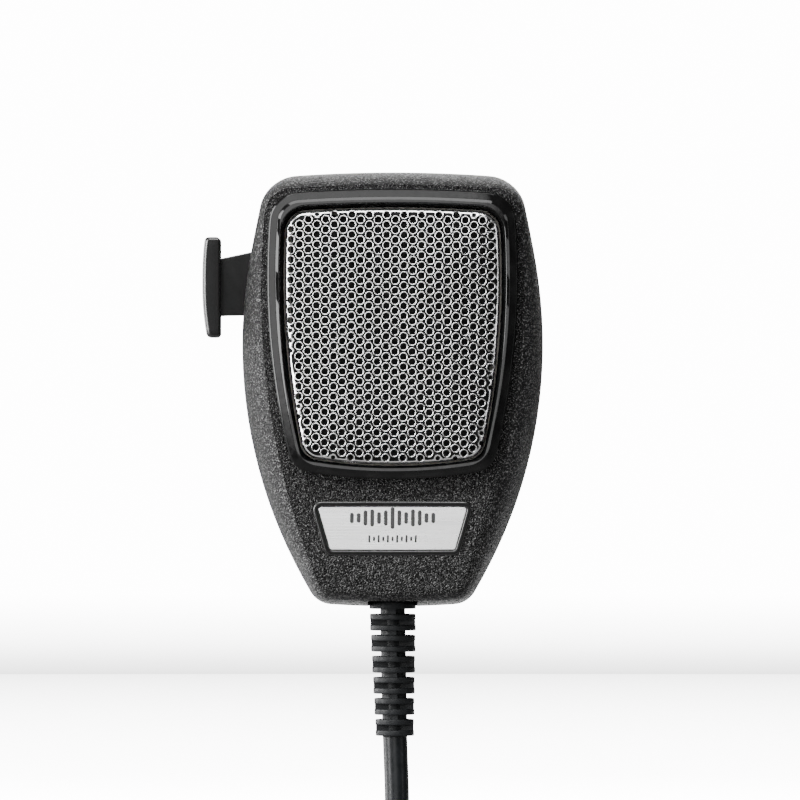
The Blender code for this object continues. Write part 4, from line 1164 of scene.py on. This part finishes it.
def boot():
    """Collar and discs, joined by webs at the sides and at the front and back in turn."""
    body = lathe("cord_boot", boot_profile(), (0.0, PARTING_Y, 0.0), "Z", 72, sharp=50)
    webs = []
    overlap = 0.0003
    for number in range(SEGMENTS):
        radius, top, slot_top, slot_end = segment(number)
        reach, side = radius - 0.0004, radius - 0.0001
        gap_top = COLLAR_END_Z if number == 0 else top + SEGMENT_PITCH - SEGMENT_HEIGHT
        webs.append(block(f"front_web_{number}", (-WEB_HALF, PARTING_Y - reach, top - overlap),
                          (WEB_HALF, PARTING_Y + reach, gap_top + overlap)))
        webs.append(block(f"side_web_{number}",
                          (-side, PARTING_Y - SIDE_WEB_HALF, slot_end - overlap),
                          (side, PARTING_Y + SIDE_WEB_HALF, slot_top + overlap)))
    combine(body, webs, "UNION", 50)
    for vertex in body.data.vertices:
        below = max(COLLAR_END_Z - vertex.co.z, 0.0) / (COLLAR_END_Z - BOOT_END_Z)
        vertex.co.x += BOOT_LEAN * below
    finish_piece(body, "boot_rubber", "strain_relief")


# ---------------------------------------------------------------- cord, tie and plug

CORD_ROUTE = [(-0.0003, -0.0220, 0.0585), (-0.0001, -0.0220, 0.0530), (0.0001, -0.0220, 0.0470),
              (0.0002, -0.0220, 0.0410), (0.0004, -0.0220, 0.0350), (0.0010, -0.0220, 0.0290),
              (0.0026, -0.0218, 0.0230), (0.0062, -0.0212, 0.0178), (0.0113, -0.0203, 0.0139)]
JOIN_ROUTE = [(0.0168, -0.0189, 0.0098), (0.0212, -0.0177, 0.0045), (0.0239, -0.0168, -0.0014)]
TAIL_ROUTE = [(0.0374, -0.0086, 0.0216), (0.0418, -0.0096, 0.0188), (0.0459, -0.0103, 0.0149),
              (0.0487, -0.0107, 0.0103), (0.0499, -0.0108, 0.0056), (0.0502, -0.0108, 0.0013)]
# Each slot of the bundle as (layer outwards, row backwards), in the order the turns fill them.
SLOTS = [(-1, -1), (-1, 0), (-1, 1), (0, 1), (0, 0), (0, -1), (1, -1), (1, 0), (1, 1)]
FIRST_ANGLE = 105
LAST_ANGLE = 8 * 360 + 30
COIL_STEP = 7.5


def change_angle(turn):
    """Where a turn moves over to the next slot, in degrees from the top of the coil."""
    return 360.0 * (turn - 1) + 180.0 + (4.5 - turn) * 34.0


def slot_at(angle):
    """The layer and row, as fractions, at an angle counted from the start of the first turn."""
    layer, row = SLOTS[0]
    for turn in range(1, len(SLOTS)):
        share = ease(angle, change_angle(turn) - 17.0, change_angle(turn) + 17.0)
        layer += (SLOTS[turn][0] - SLOTS[turn - 1][0]) * share
        row += (SLOTS[turn][1] - SLOTS[turn - 1][1]) * share
    return layer, row


def coil_line():
    """The wound stretch of the cord, relative to the coil's centre in x and z."""
    line = []
    for step in range(round((LAST_ANGLE - FIRST_ANGLE) / COIL_STEP) + 1):
        angle = FIRST_ANGLE + step * COIL_STEP
        layer, row = slot_at(angle)
        radius = COIL_RADIUS + layer * TURN_PITCH
        turn = radians(angle)
        line.append(Vector((radius * sin(turn), COIL_Y + row * TURN_PITCH, radius * cos(turn))))
    return line


def cord_line():
    """The whole cord from the strain relief to the plug, as points in metres."""
    coil = coil_line()
    lead = smooth_line(CORD_ROUTE + JOIN_ROUTE + [coil[0], coil[4]], 6)[:-6]
    tail = smooth_line([coil[-5], coil[-1]] + TAIL_ROUTE[1:], 6)[6:]
    line = lead + coil[1:] + tail[1:]
    return [Vector((COIL_X + p.x, p.y, COIL_Z + p.z)) for p in line]


def cord():
    """The cord as a round tube along its line."""
    curve = bpy.data.curves.new("cord_jacket", "CURVE")
    curve.dimensions = "3D"
    curve.bevel_depth = CORD_RADIUS
    curve.bevel_resolution = 6
    curve.use_fill_caps = True
    line = cord_line()
    spline = curve.splines.new("POLY")
    spline.points.add(len(line) - 1)
    for point, place in zip(spline.points, line):
        point.co = (*place, 1.0)
    spline.use_smooth = True
    obj = bpy.data.objects.new("cord_line", curve)
    bpy.context.scene.collection.objects.link(obj)
    return finish_piece(obj, "cord_jacket", "cord", "cord_coil", "cord_tail")


def tie():
    """A woven strap round all the turns, with rounded corners."""
    half_width, slack, thick, edge = 0.0045, 0.0004, 0.0013, 0.00035
    reach = COIL_HALF + slack
    inner_z, outer_z = COIL_RADIUS - reach - 0.0004, COIL_RADIUS + reach
    round_in, round_out = 0.0021, 0.0030

    def around(grow, radius):
        low_y, high_y = COIL_Y - reach - grow + radius, COIL_Y + reach + grow - radius
        low_z, high_z = inner_z - grow + radius, outer_z + grow - radius
        return round_corners([((high_y, high_z), radius, 0.0), ((low_y, high_z), radius, pi / 2),
                              ((low_y, low_z), radius, pi), ((high_y, low_z), radius, 1.5 * pi)])

    loops = []
    for side, grow, radius in ((-half_width, edge, round_in + edge),
                               (-half_width, thick - edge, round_out - edge),
                               (-half_width + edge, thick, round_out),
                               (half_width - edge, thick, round_out),
                               (half_width, thick - edge, round_out - edge),
                               (half_width, edge, round_in + edge),
                               (half_width - edge, 0.0, round_in),
                               (-half_width + edge, 0.0, round_in)):
        loops.append([turned_about_coil(side, y, z) for y, z in around(grow, radius)])
    strap = stack("cord_strap", loops, ring=True, sharp=60)
    return finish_piece(strap, "strap_fabric", "cord_tie")


def turned_about_coil(x, y, z):
    """A point given at the coil's top, swung round the coil's axis to the tie's place."""
    return (COIL_X + x * cos(TIE_ANGLE) + z * sin(TIE_ANGLE), y,
            COIL_Z + z * cos(TIE_ANGLE) - x * sin(TIE_ANGLE))


def plug_pieces():
    """The plug's body, knurled ring, insert, contacts and cord clamp."""
    centre = (PLUG_X, COIL_Y, PLUG_TOP_Z)
    body_profile = rounded([(0.0, -0.0006), (0.0036, -0.0006), (0.0036, -0.0001),
                            (0.0052, -0.0001), (0.0066, -0.0012), (0.0066, -0.0180),
                            (0.0074, -0.0182), (0.0074, -0.0200), (0.0063, -0.0202),
                            (0.0063, -0.0330), (0.0052, -0.0330), (0.0052, -0.0220),
                            (0.0, -0.0220)], 0.00025, 3)
    body = lathe("plug_body", body_profile, centre, "Z", 72)
    shelf = block("shelf", (PLUG_X - 0.0080, COIL_Y - 0.0080, PLUG_TOP_Z - 0.0110),
                  (PLUG_X + 0.0080, COIL_Y - 0.0046, PLUG_TOP_Z + 0.0010))
    combine(body, [shelf], "DIFFERENCE")
    finish_piece(body, "plug_chrome", "plug_shell")

    ring_profile = rounded([(0.0067, -0.0206), (0.0088, -0.0206), (0.0094, -0.0212),
                            (0.0094, -0.0222), (0.00905, -0.0226), (0.0094, -0.0230),
                            (0.0094, -0.0328), (0.00905, -0.0332), (0.0094, -0.0336),
                            (0.0094, -0.0346), (0.0090, -0.0352), (0.0080, -0.0352),
                            (0.0080, -0.0224), (0.0067, -0.0224)], 0.00015, 2)
    knurls = 48

    def knurl(angle, height):
        if -0.0329 < height < -0.0229:
            return 1.0 - 0.022 * (0.5 + 0.5 * cos(knurls * angle))
        return 1.0

    profile = []
    for (r, h), (next_r, next_h) in zip(ring_profile, ring_profile[1:]):
        profile.append((r, h))
        if abs(next_h - h) > 0.005 and r > 0.0088:
            profile += [(r, h + (next_h - h) * s / 8.0) for s in range(1, 8)]
    profile.append(ring_profile[-1])
    ring = lathe("plug_knurled_ring", profile, centre, "Z", knurls * 4, True, knurl, 50)
    finish_piece(ring, "plug_chrome", "plug_ring", body="coupling_ring")

    insert = round_tool("plug_core", 0.0049, centre, -0.0330, -0.0226, "Z", 64)
    holes, contacts = [], []
    for number in range(4):
        angle = pi / 4 + number * pi / 2
        at = (PLUG_X + 0.0026 * cos(angle), COIL_Y + 0.0026 * sin(angle), PLUG_TOP_Z)
        holes.append(round_tool(f"socket_{number}", 0.0013, at, -0.0340, -0.0260, "Z", 24))
        profile = [(0.0, -0.0328), (0.0006, -0.0328), (0.0009, -0.0325), (0.0009, -0.0266),
                   (0.0, -0.0266)]
        contacts.append(lathe(f"contact_{number + 1}", profile, at, "Z", 24))
    combine(insert, holes, "DIFFERENCE")
    finish_piece(insert, "insert_plastic", "plug_insert")
    for number, contact in enumerate(contacts, 1):
        finish_piece(contact, "brass", f"plug_contact_{number}")

    clamp = block("cord_bar", (PLUG_X - 0.0050, COIL_Y - 0.0066, PLUG_TOP_Z - 0.0106),
                  (PLUG_X + 0.0050, COIL_Y - 0.0049, PLUG_TOP_Z - 0.0002), 0.0005)
    finish_piece(clamp, "plug_chrome", "plug_clamp")
    screws = []
    for number, side in enumerate((-1, 1), 1):
        at = (PLUG_X + side * 0.0030, COIL_Y - 0.0069, PLUG_TOP_Z - 0.0054)
        screws.append(pan_screw(f"bar_screw_{number}", at, 0.0015, 0.0008, 0.0001, 1.0))
        finish_piece(screws[-1], "zinc_steel", f"plug_clamp_screw_{number}")
    return [body, ring, insert, clamp, *contacts, *screws]


# ---------------------------------------------------------------- screws and hang-up button


def pan_screw(name, seat, head, shank, length, towards):
    """A pan-head screw with a cross recess; its shank points along Y towards +1 or -1."""
    thick = head * 0.62
    profile = [(0.0, -thick)]
    for step in range(1, 7):
        angle = step / 6.0 * pi / 2
        profile.append((head * sin(angle), -thick * (0.35 + 0.65 * cos(angle))))
    profile += [(head, 0.0), (shank, 0.0), (shank, length), (0.0, length)]
    profile = [(r, h * towards) for r, h in profile]
    screw = lathe(name, profile, seat, "Y", 40, sharp=45)
    x, y, z = seat
    long, thin = head * 0.60, head * 0.14
    ends = sorted((y - towards * (thick + 0.0002), y - towards * thick * 0.35))
    cross = [block("cross_a", (x - long, ends[0], z - thin), (x + long, ends[1], z + thin)),
             block("cross_b", (x - thin, ends[0], z - long), (x + thin, ends[1], z + long))]
    combine(cross[0], [cross[1]], "UNION")
    return combine(screw, cross[:1], "DIFFERENCE", 45)


def case_screws():
    """The four long screws that hold the two shells together."""
    for number, (x, z) in enumerate(CASE_SCREWS, 1):
        screw = pan_screw(f"back_screw_{number}", (x, BACK_Y - 0.0008, z), 0.0022, 0.0012,
                          0.0205, -1.0)
        finish_piece(screw, "zinc_steel", f"case_screw_{number}")


def hang_button():
    """The turned button on the back that hangs the microphone on a clip."""
    profile = rounded([(0.0, 0.0), (0.0060, 0.0), (0.00675, -0.0006), (0.00675, -0.0020),
                       (0.0044, -0.0024), (0.0044, -0.0056), (0.0076, -0.0060),
                       (0.0076, -0.0077), (0.0015, -0.0077), (0.0015, -0.0030),
                       (0.0, -0.0030)], 0.0003, 4)
    button = lathe("clip_button", profile, (0.0, 0.0, 0.0), "Y", 80)
    finish_piece(button, "button_steel", "hang_button")


# ---------------------------------------------------------------- CAD nodes that stay

KEPT = {
    "cloth": ["dust_cloth"],
    "inner_plastic": ["capsule_holder", "switch_body"],
    "capsule_metal": ["capsule_front_cap", "capsule_case"],
    "capsule_rubber": ["capsule_ring"],
    "film": ["capsule_diaphragm"],
    "copper": ["capsule_voice_coil"],
    "magnet": ["capsule_magnet"],
    "zinc_steel": ["capsule_pole_plate", "ptt_pivot_pin", "ptt_return_spring", "cord_clamp",
                   "cord_clamp_screw_1", "cord_clamp_screw_2", "board_screw_1",
                   "board_screw_2", "hang_button_washer", "hang_button_screw"],
    "board_green": ["capsule_terminal_board", "circuit_board"],
    "insert_plastic": ["switch_plunger"],
    "brass": ["switch_terminal_1", "switch_terminal_2", "switch_terminal_3"],
    "capacitor_sleeve": ["board_capacitor"],
    "resistor_body": ["board_resistor"],
    "wire_white": ["lead_wire_1"],
    "wire_red": ["lead_wire_2", "capsule_lead_1"],
    "wire_blue": ["lead_wire_3"],
    "wire_black": ["lead_wire_4", "capsule_lead_2"],
    "cord_jacket": ["cord_inner_end"],
}


def dress_kept_nodes():
    """Gives each CAD node that stays visible its material."""
    for material, nodes in KEPT.items():
        for node in nodes:
            materials = frame["nodes"][node].data.materials
            materials.clear()
            materials.append(MAT[material])


# ---------------------------------------------------------------- light, floor and camera

VIEW_X, VIEW_Z = 0.0016, -0.0217
VIEW_PLANE_Y = -0.0260
VIEW_DISTANCE = 2.00
VIEW_WIDTH = 0.1733
LIGHT_AIM = Vector((0.0, -0.03, -0.03))
FLOOR_REACH = 3.87


def camera():
    """A level camera, straight in front, that frames the whole object."""
    data = bpy.data.cameras.new("camera")
    data.sensor_width = 36.0
    data.lens = data.sensor_width * VIEW_DISTANCE / VIEW_WIDTH
    data.clip_start, data.clip_end = 0.02, 20.0
    obj = bpy.data.objects.new("camera", data)
    obj.location = (VIEW_X, VIEW_PLANE_Y - VIEW_DISTANCE, VIEW_Z)
    obj.rotation_euler = (pi / 2, 0.0, 0.0)
    bpy.context.scene.collection.objects.link(obj)
    bpy.context.scene.camera = obj


def area_light(name, place, size, watts):
    """A white rectangle of light aimed at the housing, itself not seen by the camera."""
    data = bpy.data.lights.new(name, "AREA")
    data.shape = "RECTANGLE"
    data.size, data.size_y = size
    data.energy = watts
    obj = bpy.data.objects.new(name, data)
    obj.location = place
    obj.rotation_euler = (LIGHT_AIM - Vector(place)).to_track_quat("-Z", "Y").to_euler()
    obj.visible_camera = False
    bpy.context.scene.collection.objects.link(obj)


def lights():
    """A strong light from the left, softer ones above and behind, little from the right."""
    area_light("key_left", (-0.90, -0.40, 0.15), (0.30, 0.90), 19.0)
    area_light("left_back", (-0.90, 0.40, 0.06), (0.50, 0.90), 15.0)
    area_light("top", (-0.10, -0.55, 0.85), (0.80, 0.35), 10.0)
    area_light("top_back", (-0.05, 0.40, 0.85), (0.80, 0.40), 4.0)
    area_light("front", (-0.21, -1.15, 0.23), (0.54, 0.66), 6.0)
    area_light("right_strip", (0.90, -0.50, 0.00), (0.10, 0.80), 1.1)
    area_light("low_back", (0.00, 0.30, -0.17), (0.80, 0.08), 0.6)
    area_light("back", (0.10, 0.90, 0.35), (0.70, 0.50), 3.5)


def world():
    """A white studio for the camera, fading to pale grey at the floor's far edge."""
    studio = bpy.data.worlds.new("studio")
    bpy.context.scene.world = studio
    studio.use_nodes = True
    studio.node_tree.nodes.clear()
    nodes = Nodes(studio.node_tree)
    place = nodes.node("ShaderNodeTexCoord").outputs["Generated"]
    height = nodes.node("ShaderNodeSeparateXYZ", Vector=place).outputs[2]
    seen = nodes.gradient(height, [(-0.0298, 3.7), (-0.0282, 5.6), (-0.0271, 7.5),
                                   (-0.0260, 9.5), (-0.0238, 13.0), (-0.0210, 18.0)])
    lighting = nodes.gradient(height, [(-0.2, 0.02), (0.7, 0.14)])
    strength = nodes.seen_or_lighting("ShaderNodeMix", lighting, seen)
    background = nodes.node("ShaderNodeBackground", Strength=strength)
    nodes.node("ShaderNodeOutputWorld", Surface=background.outputs[0])


def floor():
    """A plain pale floor: bright to the camera, with a soft painted contact shadow near what
    touches it.
    """
    bm = bmesh.new()
    rings = [[bm.verts.new((r * cos(a * pi / 48), r * sin(a * pi / 48), FLOOR_Z))
              for a in range(96)] for r in (0.02, 0.5, FLOOR_REACH)]
    bm.faces.new(rings[0])
    bridge(bm, rings[0], rings[1])
    bridge(bm, rings[1], rings[2])
    obj = mesh_object("floor", bm)
    look = Look("floor", grey(0.22), 0.8)
    radius = look.node("ShaderNodeVectorMath", {"operation": "LENGTH"}, Vector=look.place)
    glow = look.gradient(radius.outputs["Value"], [(1.9, 16.0), (2.3, 12.0), (2.7, 10.8),
                                                   (3.1, 9.0), (FLOOR_REACH, 4.8)])
    # Painted contact shadow: ambient occlusion darkens the floor's glow near the object.
    contact = look.node("ShaderNodeAmbientOcclusion", {"samples": 8}, Distance=0.05)
    shade = look.math("MULTIPLY", contact.outputs["AO"], glow)
    emission = look.node("ShaderNodeEmission", Strength=shade)
    choose = look.seen_or_lighting("ShaderNodeMixShader", look.shader.outputs[0],
                                   emission.outputs[0])
    look.feed(look.tree.nodes["Material Output"].inputs[0], choose)
    obj.data.materials.append(look.material)


# ---------------------------------------------------------------- assembly


def build():
    """Everything in order; the cord comes first, with the tie and plug that belong to it."""
    camera()
    cord_piece = cord()
    strap = tie()
    plug = plug_pieces()
    front_shell()
    rear_shell()
    seam_seal()
    bezel()
    grille()
    nameplate()
    lever()
    boot()
    case_screws()
    hang_button()
    dress_kept_nodes()
    lights()
    world()
    floor()


build()
